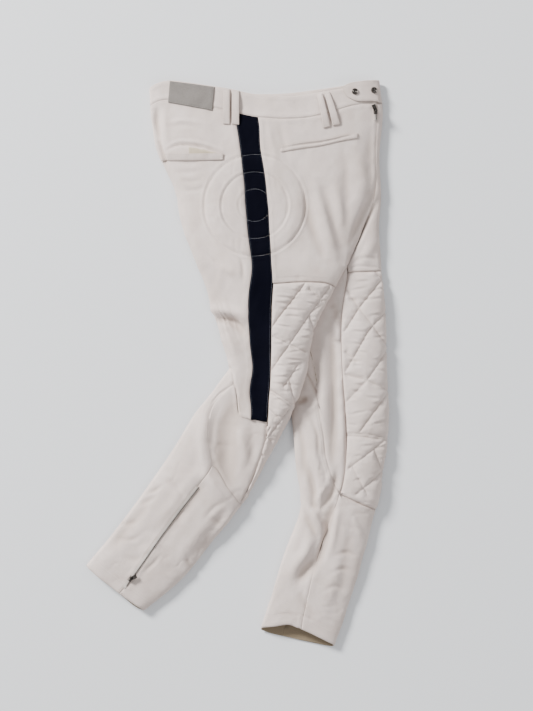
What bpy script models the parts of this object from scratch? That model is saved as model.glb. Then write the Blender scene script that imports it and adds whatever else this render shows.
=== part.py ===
"""Padded riding trousers, laid on their left side with both knees bent.

The right leg lies on top. Each leg is one flattened tube, given by a short table of
sections from the waist to the ankle. A section runs from the back edge of the leg to its
front edge. Seams are drawn in the plan view and carried onto the tube, and each panel is
the wall between its seams. All sizes are in millimetres until a mesh is made.
"""

import math

import bmesh
import bpy
import numpy as np
from mathutils import Matrix, Vector

MM = 0.001

CLOTH = 1.8
SEAM_GAP = 0.4
LAID_GAP = 0.7
HEM_LAP = 4.2
HEM_TUCK = 0.22
QUILT_PUFF = 3.2
QUILT_REACH = 17.0
PAD_PUFF = 2.6

# Least radius of the fold at a leg's edges, over the top and underneath.
UPPER_BEND = 4.0
LOWER_BEND = 3.4

# A section: the back and front edge points in plan, the height of the edge fold over what
# the leg lies on, the crown above the edge fold, how far the front edge is lifted by the
# other leg, and where across the section (-1 back, 1 front) that lift is complete.
SECTION = ("name", "back_x", "back_y", "front_x", "front_y", "edge", "crown", "lift", "lift_at")

RIGHT_LEG = (
    ("top", -158, 520, 257, 520, 5, 14, 0, 0),
    ("waist", -158, 498, 259, 498, 5, 16, 0, 0),
    ("band", -157, 469, 263, 469, 6, 19, 0, 0),
    ("yoke", -155, 437, 263, 437, 7, 23, 0, 0),
    ("pocket", -146, 387, 257, 387, 7, 27, 0, 0),
    ("seat", -129, 351, 258, 347, 8, 28, 0, 0),
    ("hip", -113, 315, 261, 311, 8, 28, 0, 0),
    ("pad", -106, 284, 252, 282, 8, 28, 2, -0.8),
    ("fork", -99, 246, 234, 246, 7, 27, 5, -0.75),
    ("crotch", -83, 207, 212, 205, 7, 26, 9, -0.6),
    ("thigh_a", -68, 171, 193, 169, 7, 19, 21, -0.45),
    ("thigh_b", -55, 136, 176, 138, 7, 18, 21.5, -0.3),
    ("thigh_c", -47, 104, 156, 104, 7, 17, 21.5, -0.1),
    ("thigh_d", -34, 68, 137, 66, 7, 17, 21.5, 0.15),
    ("thigh_e", -23, 32, 132, 27, 7, 16, 21.5, 0.3),
    ("knee_a", -14, 0, 124, -9, 7, 16, 21.5, 0.4),
    ("knee_b", -15, -8, 116, -38, 7, 16, 21.5, 0.5),
    ("knee_c", -20, -15, 108, -62, 7, 16, 21, 0.6),
    ("knee_d", -29, -27, 94, -94, 7, 16, 12, 0.8),
    ("knee_e", -43, -47, 77, -126, 7, 17, 4, 0.9),
    ("knee_f", -61, -69, 61, -153, 7, 17, 0, 0.9),
    ("calf_a", -85, -99, 47, -180, 7, 17, 0, 0),
    ("calf_b", -107, -141, 29, -215, 7, 17, 0, 0),
    ("calf_c", -133, -179, 11, -247, 7, 17, 0, 0),
    ("calf_d", -157, -213, -11, -276, 7, 16, 0, 0),
    ("calf_e", -182, -249, -37, -310, 7, 15, 0, 0),
    ("calf_f", -211, -287, -65, -346, 6, 14, 0, 0),
    ("ankle_a", -239, -323, -94, -383, 6, 13, 0, 0),
    ("ankle_b", -256, -342, -131, -416, 6, 11, 0, 0),
    ("hem", -274, -364, -169, -445, 6, 10, 0, 0),
    ("beyond", -292, -388, -203, -472, 6, 10, 0, 0),
)

LEFT_LEG = (
    ("top", -158, 520, 257, 520, 5, 14, 0, 0),
    ("waist", -158, 498, 259, 498, 5, 16, 0, 0),
    ("band", -157, 469, 263, 469, 6, 19, 0, 0),
    ("yoke", -155, 437, 263, 437, 7, 23, 0, 0),
    ("pocket", -146, 387, 257, 387, 7, 27, 0, 0),
    ("seat", -129, 351, 258, 347, 8, 28, 0, 0),
    ("hip", -113, 315, 261, 311, 8, 28, 0, 0),
    ("pad", -92, 284, 259, 282, 8, 25, 0, 0),
    ("fork", -58, 246, 256, 246, 8, 19, 0, 0),
    ("crotch", -20, 207, 259, 207, 7, 15, 0, 0),
    ("thigh_a", 13, 171, 261, 171, 7, 13, 0, 0),
    ("thigh_b", 36, 136, 265, 136, 7, 13, 0, 0),
    ("thigh_c", 54, 104, 267, 104, 7, 13, 0, 0),
    ("thigh_d", 74, 68, 269, 68, 7, 13, 0, 0),
    ("thigh_e", 85, 32, 270, 32, 7, 13, 0, 0),
    ("thigh_f", 90, -4, 270, -4, 7, 13, 0, 0),
    ("knee_a", 94, -40, 272, -40, 7, 13, 0, 0),
    ("knee_b", 96, -76, 274, -76, 7, 13, 0, 0),
    ("knee_c", 101, -112, 274, -108, 7, 14, 0, 0),
    ("knee_d", 103, -148, 272, -144, 7, 16, 0, 0),
    ("knee_e", 104, -184, 266, -177, 7, 17, 0, 0),
    ("knee_f", 109, -220, 260, -211, 7, 17, 0, 0),
    ("calf_a", 120, -245, 254, -249, 7, 17, 0, 0),
    ("calf_b", 112, -274, 246, -281, 7, 17, 0, 0),
    ("calf_c", 99, -305, 237, -317, 7, 17, 0, 0),
    ("calf_d", 86, -337, 227, -351, 7, 16, 0, 0),
    ("calf_e", 75, -369, 216, -389, 7, 15, 0, 0),
    ("calf_f", 63, -413, 204, -427, 6, 14, 0, 0),
    ("ankle", 51, -447, 193, -461, 6, 13, 0, 0),
    ("hem", 43, -476, 176, -508, 6, 12, 0, 0),
    ("beyond", 36, -505, 162, -541, 6, 12, 0, 0),
)

# The largest folds: which leg, three points in plan, height (a trough is negative) and width.
FOLD = ("leg", "start", "middle", "end", "height", "width")
FOLDS = (
    ("both", (251, 330), (226, 244), (200, 178), -5.0, 17),
    ("right", (-140, 462), (-142, 440), (-138, 412), -5.0, 16),
    ("right", (-45, 84), (-8, 74), (12, 40), -4.0, 15),
    ("right", (-40, 104), (0, 100), (28, 70), 3.0, 18),
    ("right", (142, 290), (152, 235), (164, 180), 3.0, 20),
    ("right", (176, 300), (184, 240), (184, 190), -3.0, 14),
    ("right", (-34, -66), (-26, -150), (8, -225), -5.0, 24),
    ("right", (-64, -190), (-130, -270), (-205, -350), -3.0, 22),
    ("left", (150, 60), (152, 0), (150, -50), -4.0, 18),
    ("left", (176, 90), (168, 20), (158, -30), 2.5, 14),
    ("left", (232, 140), (238, -40), (236, -215), 7.0, 42),
    ("left", (132, -90), (136, -140), (132, -195), 4.0, 22),
    ("left", (196, -90), (196, -160), (184, -240), -4.0, 14),
    ("left", (180, -80), (176, -150), (170, -215), 3.0, 16),
    ("left", (158, -255), (152, -330), (112, -385), -6.0, 18),
    ("left", (112, -385), (92, -398), (76, -412), -4.0, 18),
)

# Seams in plan, from the waist down or from the back edge forward.
CENTRE_FRONT_INSEAM = (
    (253, 500), (253, 469), (253, 437), (251, 387), (252, 347), (250, 315), (241, 284),
    (226, 246), (209, 207), (201, 174), (195, 138), (189, 104), (187, 68), (187, 32),
    (188, -4), (191, -40), (194, -76), (196, -112), (197, -148), (195, -180), (191, -216),
    (180, -249), (166, -283), (155, -317), (142, -357), (131, -400), (123, -441), (117, -474),
)
STRIPE_BACK_EDGE = (
    (-1, 452), (0, 432), (6, 387), (11, 342), (14, 297), (18, 252), (22, 216), (26, 192),
    (28, 174), (23, 144), (20, 117), (21, 81), (24, 27), (25, -27), (25, -99),
)
STRIPE_FRONT_EDGE = (
    (38, 444), (41, 405), (45, 372), (50, 342), (54, 306), (58, 261), (61, 207), (63, 171),
    (62, 117), (61, 63), (60, 9), (58, -45), (54, -103), (53, -135), (43, -168), (32, -198),
    (20, -225), (9, -246),
)
CALF_SEAM_AND_ZIP = (
    (-7, -36), (-27, -51), (-43, -71), (-51, -99), (-53, -132), (-49, -162), (-41, -182),
    (-58, -202), (-72, -222), (-103, -261), (-139, -310), (-175, -362), (-211, -412),
)
WAIST_EDGE_RIGHT = (
    (-157, 501), (-144, 508), (-121, 513), (-76, 507), (-38, 501), (5, 494), (50, 484),
    (86, 483), (122, 486), (167, 494), (203, 500), (257, 507),
)
WAIST_EDGE_LEFT = (
    (-157, 501), (-144, 508), (-121, 512), (-67, 507), (-4, 496), (50, 490), (113, 495),
    (176, 503), (218, 510), (255, 513),
)
BAND_SEAM = (
    (-156, 468), (-124, 478), (-85, 471), (-40, 462), (0, 452), (38, 444), (77, 441),
    (113, 442), (149, 448), (185, 459), (218, 469), (262, 473),
)
THIGH_HEM_RIGHT = ((-13, -6), (-7, -36), (-1, -63), (1, -94), (25, -99), (54, -103))
QUILT_TOP_RIGHT = ((62, 145), (113, 148), (149, 148), (174, 141))
SHIN_SEAM_RIGHT = ((-41, -182), (-16, -222), (7, -252))
HEM_RIGHT = ((-273, -364), (-239, -393), (-207, -417), (-170, -444))
QUILT_TOP_LEFT = ((196, 167), (261, 171))
QUILT_BOTTOM_LEFT = ((186, -234), (218, -251), (250, -263))
CALF_SEAM_LEFT = (
    (93, 5), (110, 0), (124, -13), (137, -36), (146, -60), (151, -103), (157, -150),
    (169, -197), (186, -234),
)
HEM_LEFT = ((44, -476), (68, -473), (97, -469), (122, -479), (149, -494), (175, -507))
HEM_LEFT_UNDER = ((45, -481), (59, -487), (95, -495), (131, -503), (164, -510), (175, -510))

# Quilting lines in plan, for the right and the left knee panel.
QUILT_LINES_RIGHT = (
    ((63, 61), (121, 146)), ((63, -10), (190, 175)), ((60, -80), (190, 105)),
    ((52, -150), (150, -10)), ((20, -222), (120, -100)),
    ((62, 120), (170, -10)), ((62, 48), (130, -40)), ((63, -47), (99, -71)),
    ((56, -95), (100, -150)), ((40, -160), (80, -215)),
    ((95, 147), (150, 85)),
)
QUILT_LINES_LEFT = (
    ((190, 70), (266, 155)), ((186, 10), (266, 94)), ((187, -60), (275, 26)),
    ((190, -135), (275, -52)), ((199, -186), (274, -132)), ((205, -240), (270, -180)),
    ((196, 132), (275, 40)), ((188, 62), (275, -30)), ((190, -18), (275, -48)),
    ((192, -80), (274, -150)), ((197, -125), (274, -129)), ((214, -160), (266, -215)),
)

TAB = (
    ((188, 500), (204, 508), (230, 512), (255, 514)),
    ((198, 482), (212, 474), (225, 474), (243, 475), (255, 474)),
)
LABEL = (((-121, 511), (-80, 505.5), (-40, 499.5)), ((-124, 472), (-84, 464), (-44, 456)))
BACK_WELT = (
    ((-134, 380), (-80, 378), (-24, 378)), ((-136, 368), (-80, 366), (-25, 367)),
)
BACK_LINING = (((-86, 391), (-30, 388)), ((-86, 377), (-30, 376)))
FRONT_WELT = (
    ((79, 392), (113, 398), (149, 403), (184, 409), (217, 416)),
    ((79, 381), (113, 387), (149, 392), (185, 401), (216, 407)),
)
BELT_LOOPS = {
    "belt_loop_side_back": (((-25, 497), (-13, 495.5)), ((-25, 432), (-13, 431))),
    "belt_loop_side_front": (((-9, 495), (4, 492.5)), ((-9, 431), (4, 430))),
    "belt_loop_front_back": (((144, 485), (153, 488)), ((155, 424.5), (167, 427))),
    "belt_loop_front_front": (((157, 489), (166, 491)), ((172, 428.5), (185, 431.5))),
}
ANKLE_ZIP = ((-71, -220), (-103, -261), (-139, -310), (-175, -362), (-204, -402))
FLY_ZIP = ((247, 470), (248.5, 455), (250, 440))
ZIP_HALF_WIDTH = 3.0
SNAPS = {"snap_inner": (212, 491), "snap_outer": (246, 494.5)}

# Zip sliders: place, heading of the slider and of its pull tab in degrees.
ANKLE_SLIDER = ((-191.7, -385), 54, 26)
FLY_SLIDER = ((248, 456), 96, 112)

HIP_PAD_CENTRE = (32, 285)
HIP_PAD_RINGS = (92, 59, 28)
HIP_PAD_RING_WIDTH = 7.0

WHITE = (0.66, 0.62, 0.58, 1)
NAVY = (0.008, 0.010, 0.022, 1)
GREY = (0.30, 0.28, 0.26, 1)
LINING = (0.62, 0.54, 0.42, 1)
TEETH = (0.52, 0.49, 0.45, 1)
METAL = (0.10, 0.09, 0.08, 1)


def smooth(t):
    t = min(max(t, 0.0), 1.0)
    return t * t * (3 - 2 * t)


def bump(distance, width):
    """1 on the line, falling smoothly to 0 at this distance from it."""
    return smooth(1 - distance / width)


def to_segment(x, y, start, end):
    """Distance from a plan point to a segment, and how far along it the nearest point is."""
    dx, dy = end[0] - start[0], end[1] - start[1]
    along = ((x - start[0]) * dx + (y - start[1]) * dy) / (dx * dx + dy * dy)
    held = min(max(along, 0.0), 1.0)
    return math.hypot(x - start[0] - held * dx, y - start[1] - held * dy), held


def fold_height(x, y, leg):
    """Sum of the folds of one leg at a plan point."""
    total = 0.0
    for row in FOLDS:
        fold = dict(zip(FOLD, row))
        if fold["leg"] not in (leg, "both"):
            continue
        first, along_first = to_segment(x, y, fold["start"], fold["middle"])
        second, along_second = to_segment(x, y, fold["middle"], fold["end"])
        along = along_first / 2 if first < second else 0.5 + along_second / 2
        fade = math.sin(math.pi * min(max(along, 0.02), 0.98)) ** 0.5
        total += fold["height"] * bump(min(first, second), fold["width"]) * fade
    return total


class Leg:
    """A flattened tube. v counts sections from the waist, and the girth angle runs from
    180 degrees at the back edge over the top to 0 at the front edge, and on underneath."""

    def __init__(self, name, table):
        self.name = name
        self.values = np.array([row[1:] for row in table], float)
        self.index = {row[0]: i for i, row in enumerate(table)}
        self.last = len(table) - 1

    def section(self, v):
        """The table's columns at v, on a smooth curve through the rows."""
        i = int(min(max(math.floor(v), 0), self.last - 1))
        f = v - i
        rows = self.values
        before, here, after, beyond = (
            rows[max(i - 1, 0)], rows[i], rows[i + 1], rows[min(i + 2, self.last)],
        )
        return 0.5 * (
            2 * here
            + (after - before) * f
            + (2 * before - 5 * here + 4 * after - beyond) * f * f
            + (3 * here - before - 3 * after + beyond) * f**3
        )

    def across(self, v, angle):
        """Where a girth angle lies across the section: -1 is the back edge, 1 the front."""
        c = math.cos(angle)
        return math.copysign(abs(c) ** (2 / self.roundness(v)), c)

    def roundness(self, v):
        """How squarely the upper side meets its edges, so that the bend isn't too tight."""
        s = self.section(v)
        half = math.hypot(s[2] - s[0], s[3] - s[1]) / 2
        return max(3.0, 2 * half * UPPER_BEND / s[5] ** 2)

    def angle_at(self, v, across):
        """The girth angle, on the upper side, of a place across the section."""
        across = min(max(across, -1.0), 1.0)
        return math.acos(math.copysign(abs(across) ** (self.roundness(v) / 2), across))

    def plan(self, v, across):
        s = self.section(v)
        half = (1 + across) / 2
        return s[0] + (s[2] - s[0]) * half, s[1] + (s[3] - s[1]) * half

    def unrolled(self, v, angle):
        """The plan point, carried on past the edges for what is folded underneath."""
        across = self.across(v, angle)
        if math.sin(angle) < 0:
            across = 2 - across if across > 0 else -2 - across
        return self.plan(v, across)

    def normal(self, v, angle):
        """The outward direction of the tube at a place."""
        around = self.point(v, angle + 0.01) - self.point(v, angle - 0.01)
        down = self.point(v + 0.02, angle) - self.point(v - 0.02, angle)
        normal = np.cross(around, down)
        return normal / np.linalg.norm(normal)

    def point(self, v, angle):
        s = self.section(v)
        across = self.across(v, angle)
        x, y = self.plan(v, across)
        edge, crown, lift, lift_at = s[4:8]
        base = max(lift, 0.0) * smooth((across - lift_at) / 0.6 + 1)
        up = math.sin(angle)
        if up >= 0:
            z = base + edge + crown * up + fold_height(x, y, self.name) * smooth(up * 2.5)
        else:
            half = math.hypot(s[2] - s[0], s[3] - s[1]) / 2
            flatness = 2 * half * LOWER_BEND / edge**2
            z = base + edge * (1 - math.sqrt(max(0.0, 1 - abs(across) ** flatness)))
        return np.array((x, y, z))

    def locate(self, x, y):
        """The (v, across) whose plan point is (x, y)."""
        best = None
        for v in np.arange(0, self.last + 0.01, 0.25):
            s = self.section(v)
            dx, dy = s[2] - s[0], s[3] - s[1]
            t = ((x - s[0]) * dx + (y - s[1]) * dy) / (dx * dx + dy * dy)
            t = min(max(t, -0.1), 1.1)
            far = math.hypot(s[0] + t * dx - x, s[1] + t * dy - y)
            if best is None or far < best[0]:
                best = (far, v, 2 * t - 1)
        v, across = best[1:]
        step = 1e-3
        for _ in range(8):
            here = np.array(self.plan(v, across))
            by_v = (np.array(self.plan(v + step, across)) - here) / step
            by_across = (np.array(self.plan(v, across + step)) - here) / step
            change = np.linalg.solve(np.column_stack((by_v, by_across)), (x, y) - here)
            v += min(max(change[0], -0.5), 0.5)
            across += min(max(change[1], -0.2), 0.2)
        return v, across


def curve_through(knots, values):
    """A smooth function through the knots that never overshoots, level beyond its ends."""
    order = np.argsort(knots)
    knots, values = np.array(knots, float)[order], np.array(values, float)[order]
    secants = np.diff(values) / np.diff(knots)
    before, after = np.append(secants[:1], secants), np.append(secants, secants[-1:])
    same_way = before * after > 0
    slopes = np.where(same_way, 2 * before * after / np.where(same_way, before + after, 1), 0.0)

    def at(t):
        if t <= knots[0]:
            return values[0]
        if t >= knots[-1]:
            return values[-1]
        i = int(np.searchsorted(knots, t) - 1)
        span = knots[i + 1] - knots[i]
        f = (t - knots[i]) / span
        return (
            values[i] * (1 + 2 * f) * (1 - f) ** 2
            + values[i + 1] * f * f * (3 - 2 * f)
            + slopes[i] * span * f * (1 - f) ** 2
            - slopes[i + 1] * span * f * f * (1 - f)
        )

    return at


def long_seam(leg, points, before=(), after=()):
    """Girth angle against v for a seam that runs down the leg. Before and after are
    (v, degrees) pairs for stretches that the plan points don't give."""
    pairs = [(v, math.radians(a)) for v, a in before]
    for x, y in points:
        v, across = leg.locate(x, y)
        pairs.append((v, leg.angle_at(v, across)))
    pairs += [(v, math.radians(a)) for v, a in after]
    return curve_through(*zip(*pairs))


def cross_seam(leg, points, before=(), after=()):
    """v against girth angle for a seam that runs across the leg. Before and after are
    (degrees, v) pairs for the underside."""
    pairs = [(math.radians(a), v) for a, v in before]
    for x, y in points:
        v, across = leg.locate(x, y)
        pairs.append((leg.angle_at(v, across), v))
    pairs += [(math.radians(a), v) for a, v in after]
    return curve_through(*zip(*pairs))


def underneath(leg, across):
    """The girth angle of a straight line down the underside."""
    return lambda v: math.tau - leg.angle_at(v, across)


def both_sides(seam):
    """A cross seam of the upper side, used for the underside as well."""
    return lambda angle: seam(abs(math.remainder(angle, math.tau)))


def tucked_under(places, by):
    """Stations moved up the leg on its upper side, by this many sections."""
    return np.array([(v - by * smooth((math.sin(a) - 0.15) / 0.35), a) for v, a in places])


def crossing(long_line, seam, last):
    """The v where a long seam first meets a cross seam."""
    previous = -0.5
    for v in np.arange(-0.5, last + 0.8, 0.1):
        if v >= seam(long_line(v)):
            low, high = previous, v
            for _ in range(20):
                middle = (low + high) / 2
                low, high = (low, middle) if middle >= seam(long_line(middle)) else (middle, high)
            return high
        previous = v
    return last


def evenly(points, count, turn_weight):
    """Places along a run of points, spaced by length plus a share for each turn."""
    steps = np.diff(points, axis=0)
    lengths = np.linalg.norm(steps, axis=1) + 1e-9
    unit = steps / lengths[:, None]
    turns = np.arccos(np.clip((unit[1:] * unit[:-1]).sum(1), -1, 1))
    measure = lengths + turn_weight * np.concatenate(([0.0], turns))
    total = np.concatenate(([0.0], np.cumsum(measure)))
    where = np.linspace(0, total[-1], count + 1)
    return np.interp(where, total, np.linspace(0, 1, len(points)))


def stations(leg, seam, long_seams, counts):
    """Places (v, angle) along a cross seam, with so many steps between its long seams.
    Panels above and below the seam share them."""
    fine = np.linspace(0, 1, 160)
    ends = []
    for long_line in long_seams:
        v = crossing(long_line, seam, leg.last)
        ends.append(long_line(v))
    places = []
    for start, stop, count in zip(ends, ends[1:], counts):
        angles = start + (stop - start) * fine
        run = np.array([leg.point(seam(a), a) for a in angles])
        for t in evenly(run, count, 14.0)[bool(places):]:
            angle = start + (stop - start) * t
            places.append((seam(angle), angle))
    return np.array(places)


def stations_along(leg, places, count):
    """Stations evenly along a smooth line through (v, angle) places."""
    places = np.array([(v, to_length(a)) for v, a in places])
    points = np.array([leg.point(v, to_angle(q)) for v, q in places])
    reach = np.concatenate(([0.0], np.cumsum(np.linalg.norm(np.diff(points, axis=0), axis=1))))
    v_at, q_at = curve_through(reach, places[:, 0]), curve_through(reach, places[:, 1])
    fine = np.linspace(0, reach[-1], 200)
    run = np.array([leg.point(v_at(t), to_angle(q_at(t))) for t in fine])
    chosen = evenly(run, count, 14.0) * reach[-1]
    return np.array([(v_at(t), to_angle(q_at(t))) for t in chosen])


def rows_down(leg, long_line, cross_seams, counts):
    """The v of each row along a long seam, with so many steps between its cross seams."""
    fine = np.linspace(0, 1, 160)
    ends = [crossing(long_line, seam, leg.last) for seam in cross_seams]
    rows = []
    for start, stop, count in zip(ends, ends[1:], counts):
        run = np.array([leg.point(v, long_line(v)) for v in start + (stop - start) * fine])
        rows += list(start + (stop - start) * evenly(run, count, 6.0)[bool(rows):])
    return np.array(rows)


def shares(rows):
    """Rows as shares of the way from the first to the last."""
    return (rows - rows[0]) / (rows[-1] - rows[0])


def girth_scale():
    """Girth angles against the length of cloth round a plain section."""
    angles = np.linspace(-math.pi, math.tau + math.pi, 2400)
    across = np.sign(np.cos(angles)) * np.abs(np.cos(angles)) ** (2 / 3)
    under = 0.09 * (1 - np.sqrt(1 - np.abs(across) ** 13)) - 0.09
    heights = np.where(np.sin(angles) >= 0, 0.22 * np.sin(angles), under)
    lengths = np.hypot(np.diff(across), np.diff(heights))
    return angles, np.concatenate(([0.0], np.cumsum(lengths)))


GIRTH_ANGLES, GIRTH_LENGTHS = girth_scale()


def to_length(angle):
    return np.interp(angle, GIRTH_ANGLES, GIRTH_LENGTHS)


def to_angle(length):
    return np.interp(length, GIRTH_LENGTHS, GIRTH_ANGLES)


def panel_places(lines, top, bottom, down):
    """(v, angle) of each grid point between two rows of stations. Lines gives the long seams
    and the leg's edges by column. A column between two of them drifts from its share of the
    girth at the top to its share at the bottom."""
    marks = sorted(lines)
    places = np.zeros((len(down), len(top), 2))
    for j in range(len(top)):
        low = max(mark for mark in marks[:-1] if mark <= j)
        high = marks[marks.index(low) + 1]

        def share(place):
            start, stop = to_length(lines[low](place[0])), to_length(lines[high](place[0]))
            return (to_length(place[1]) - start) / (stop - start)

        share_top, share_bottom = share(top[j]), share(bottom[j])
        for i, t in enumerate(down):
            v = top[j][0] + (bottom[j][0] - top[j][0]) * t
            s = share_top + (share_bottom - share_top) * t
            start, stop = to_length(lines[low](v)), to_length(lines[high](v))
            places[i, j] = v, to_angle(start + (stop - start) * s)
    return places


def blended_places(first, second, top, bottom, down):
    """The same, blended evenly from all four edges, for a panel with a steep lower edge."""
    t = np.array(down)[:, None, None]
    s = np.linspace(0, 1, len(top))[None, :, None]
    head = np.array([(v, to_length(a)) for v, a in top])[None]
    foot = np.array([(v, to_length(a)) for v, a in bottom])[None]

    def side(line, j):
        rows = head[0, j, 0] + (foot[0, j, 0] - head[0, j, 0]) * t[:, 0, 0]
        return np.array([(v, to_length(line(v))) for v in rows])[:, None]

    left, right = side(first, 0), side(second, -1)
    corners = (left[:1] * (1 - s) + right[:1] * s) * (1 - t)
    corners = corners + (left[-1:] * (1 - s) + right[-1:] * s) * t
    places = left * (1 - s) + right * s + head * (1 - t) + foot * t - corners
    places[..., 1] = to_angle(places[..., 1])
    return places


def inset_rim(points, normals, by):
    """Moves the outermost points of a grid inwards, square to its rim."""
    moves = np.zeros_like(points)
    turned = points.transpose(1, 0, 2), normals.transpose(1, 0, 2), moves.transpose(1, 0, 2)
    for lines, ups, shifts in ((points, normals, moves), turned):
        for edge, inner in ((0, 1), (-1, -2)):
            inward = np.cross(ups[edge], np.gradient(lines[edge], axis=0))
            inward /= np.linalg.norm(inward, axis=1, keepdims=True)
            towards = (inward * (lines[inner] - lines[edge])).sum(1, keepdims=True)
            shifts[edge] += inward * np.sign(towards) * by
    points += moves


def make_material(name, colour, roughness, metallic=0.0):
    material = bpy.data.materials.get(name)
    if material is None:
        material = bpy.data.materials.new(name)
        material.use_nodes = True
        shader = material.node_tree.nodes["Principled BSDF"]
        shader.inputs["Base Color"].default_value = colour
        shader.inputs["Roughness"].default_value = roughness
        shader.inputs["Metallic"].default_value = metallic
    return material


def add_object(name, mesh_maker, material):
    """Links an object whose mesh is the finished bmesh."""
    mesh = bpy.data.meshes.new(name)
    bmesh.ops.recalc_face_normals(mesh_maker, faces=mesh_maker.faces)
    if mesh_maker.calc_volume(signed=True) < 0:
        bmesh.ops.reverse_faces(mesh_maker, faces=mesh_maker.faces)
    mesh_maker.to_mesh(mesh)
    mesh_maker.free()
    mesh.shade_smooth()
    mesh.set_sharp_from_angle(angle=math.radians(50))
    mesh.materials.append(material)
    made = bpy.data.objects.new(name, mesh)
    bpy.context.scene.collection.objects.link(made)
    return made


def add_wall(name, outer, inner, material):
    """One closed wall between two grids of points of the same shape."""
    rows, columns = outer.shape[0] - 1, outer.shape[1] - 1
    made = bmesh.new()
    skins = []
    for points in (outer, inner):
        flat = bmesh.ops.create_grid(made, x_segments=columns, y_segments=rows, size=1)["verts"]
        for vertex, place in zip(flat, points.reshape(-1, 3)):
            vertex.co = Vector(place * MM)
        skins.append(flat)
    corners = [0, columns, (rows + 1) * (columns + 1) - 1, rows * (columns + 1)]
    strides = [1, columns + 1, -1, -(columns + 1)]
    rim = []
    for corner, stride, count in zip(corners, strides, (columns, rows, columns, rows)):
        rim += [corner + stride * step for step in range(count)]
    for here, there in zip(rim, rim[1:] + rim[:1]):
        made.faces.new((skins[0][here], skins[0][there], skins[1][there], skins[1][here]))
    return add_object(name, made, material)


def hip_pad_relief(x, y):
    """Stitched rings press into the padded disc on the hip."""
    distance = math.hypot(x - HIP_PAD_CENTRE[0], y - HIP_PAD_CENTRE[1])
    outside = smooth((HIP_PAD_RINGS[0] + 6 - distance) / 10)
    groove = max(bump(abs(distance - ring), HIP_PAD_RING_WIDTH) for ring in HIP_PAD_RINGS)
    return PAD_PUFF * outside * (1 - groove)


def quilt_relief(lines):
    """Padding that swells between the quilting lines."""

    def relief(x, y):
        nearest = min(to_segment(x, y, *line)[0] for line in lines)
        left = 1 - min(nearest / QUILT_REACH, 1.0)
        return 0.4 + QUILT_PUFF * (1 - left * left)

    return relief


def plain(x, y):
    return 0.0


def lapped_hem(x, y):
    """The thigh's lower back edge rides over the calf and the side of the knee."""
    pairs = zip(THIGH_HEM_RIGHT, THIGH_HEM_RIGHT[1:])
    nearest = min(to_segment(x, y, *pair)[0] for pair in pairs)
    return HEM_LAP * bump(nearest, 36)


def add_panel(name, leg, places, material, relief=plain, raise_all=plain, gap=SEAM_GAP):
    """A panel of cloth on a leg. Relief raises its outer points alone, and raise_all lifts
    the whole wall."""
    shape = places.shape[:2]
    flat = places.reshape(-1, 2)
    points = np.array([leg.point(v, a) for v, a in flat]).reshape(*shape, 3)
    normals = np.array([leg.normal(v, a) for v, a in flat]).reshape(*shape, 3)
    plans = [leg.unrolled(v, a) for v, a in flat]
    shown = np.array([smooth(math.sin(a) * 1.2 + 0.5) for v, a in flat]).reshape(*shape, 1)
    lifted = np.array([raise_all(x, y) for x, y in plans]).reshape(*shape, 1)
    points = points + normals * lifted * shown
    inset_rim(points, normals, gap / 2)
    raised = np.array([relief(x, y) for x, y in plans]).reshape(*shape, 1)
    raised[[0, -1], :] *= 0.3
    raised[:, [0, -1]] *= 0.3
    outer = points + normals * raised * shown
    inner = points - normals * CLOTH
    return add_wall(name, outer, inner, material)


def surface_of(leg, x, y, relief=plain):
    """Point and upward normal of a leg's upper side at a plan point."""
    v, across = leg.locate(x, y)
    angle = leg.angle_at(v, across)
    normal = leg.normal(v, angle)
    return leg.point(v, angle) + normal * relief(x, y), normal


def along_line(points, t):
    """The plan point this share of the way along a line of points."""
    points = np.array(points, float)
    lengths = np.concatenate(([0.0], np.cumsum(np.linalg.norm(np.diff(points, axis=0), axis=1))))
    at = t * lengths[-1]
    return np.interp(at, lengths, points[:, 0]), np.interp(at, lengths, points[:, 1])


def add_strip(name, leg, lines, size, lift, thickness, material, relief=plain, rise=None):
    """A piece of cloth that lies on a panel between two plan lines. Rise gives extra height
    along and across it, each counted from 0 to 1."""
    columns, rows = size
    outer = np.zeros((rows + 1, columns + 1, 3))
    inner = np.zeros((rows + 1, columns + 1, 3))
    for i in range(rows + 1):
        for j in range(columns + 1):
            t, s = i / rows, j / columns
            upper, lower = (np.array(along_line(line, s)) for line in lines)
            x, y = upper * (1 - t) + lower * t
            point, normal = surface_of(leg, x, y, relief)
            above = lift + (rise(s, t) if rise else 0.0)
            inner[i, j] = point + normal * above
            outer[i, j] = point + normal * (above + thickness)
    return add_wall(name, outer, inner, material)


def add_turned(name, profile, place, normal, material, steps=16):
    """A solid turned from a profile of (radius, height) points about its own axis."""
    made = bmesh.new()
    points = [made.verts.new((r * MM, 0, h * MM)) for r, h in profile]
    edges = [made.edges.new(pair) for pair in zip(points, points[1:])]
    bmesh.ops.spin(
        made, geom=points + edges, cent=(0, 0, 0), axis=(0, 0, 1), angle=math.tau,
        steps=steps, use_merge=True,
    )
    bmesh.ops.remove_doubles(made, verts=made.verts, dist=1e-6)
    turn = Vector(normal).to_track_quat("Z", "Y").to_matrix().to_4x4()
    made.transform(Matrix.Translation(Vector(place) * MM) @ turn)
    return add_object(name, made, material)


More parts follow.
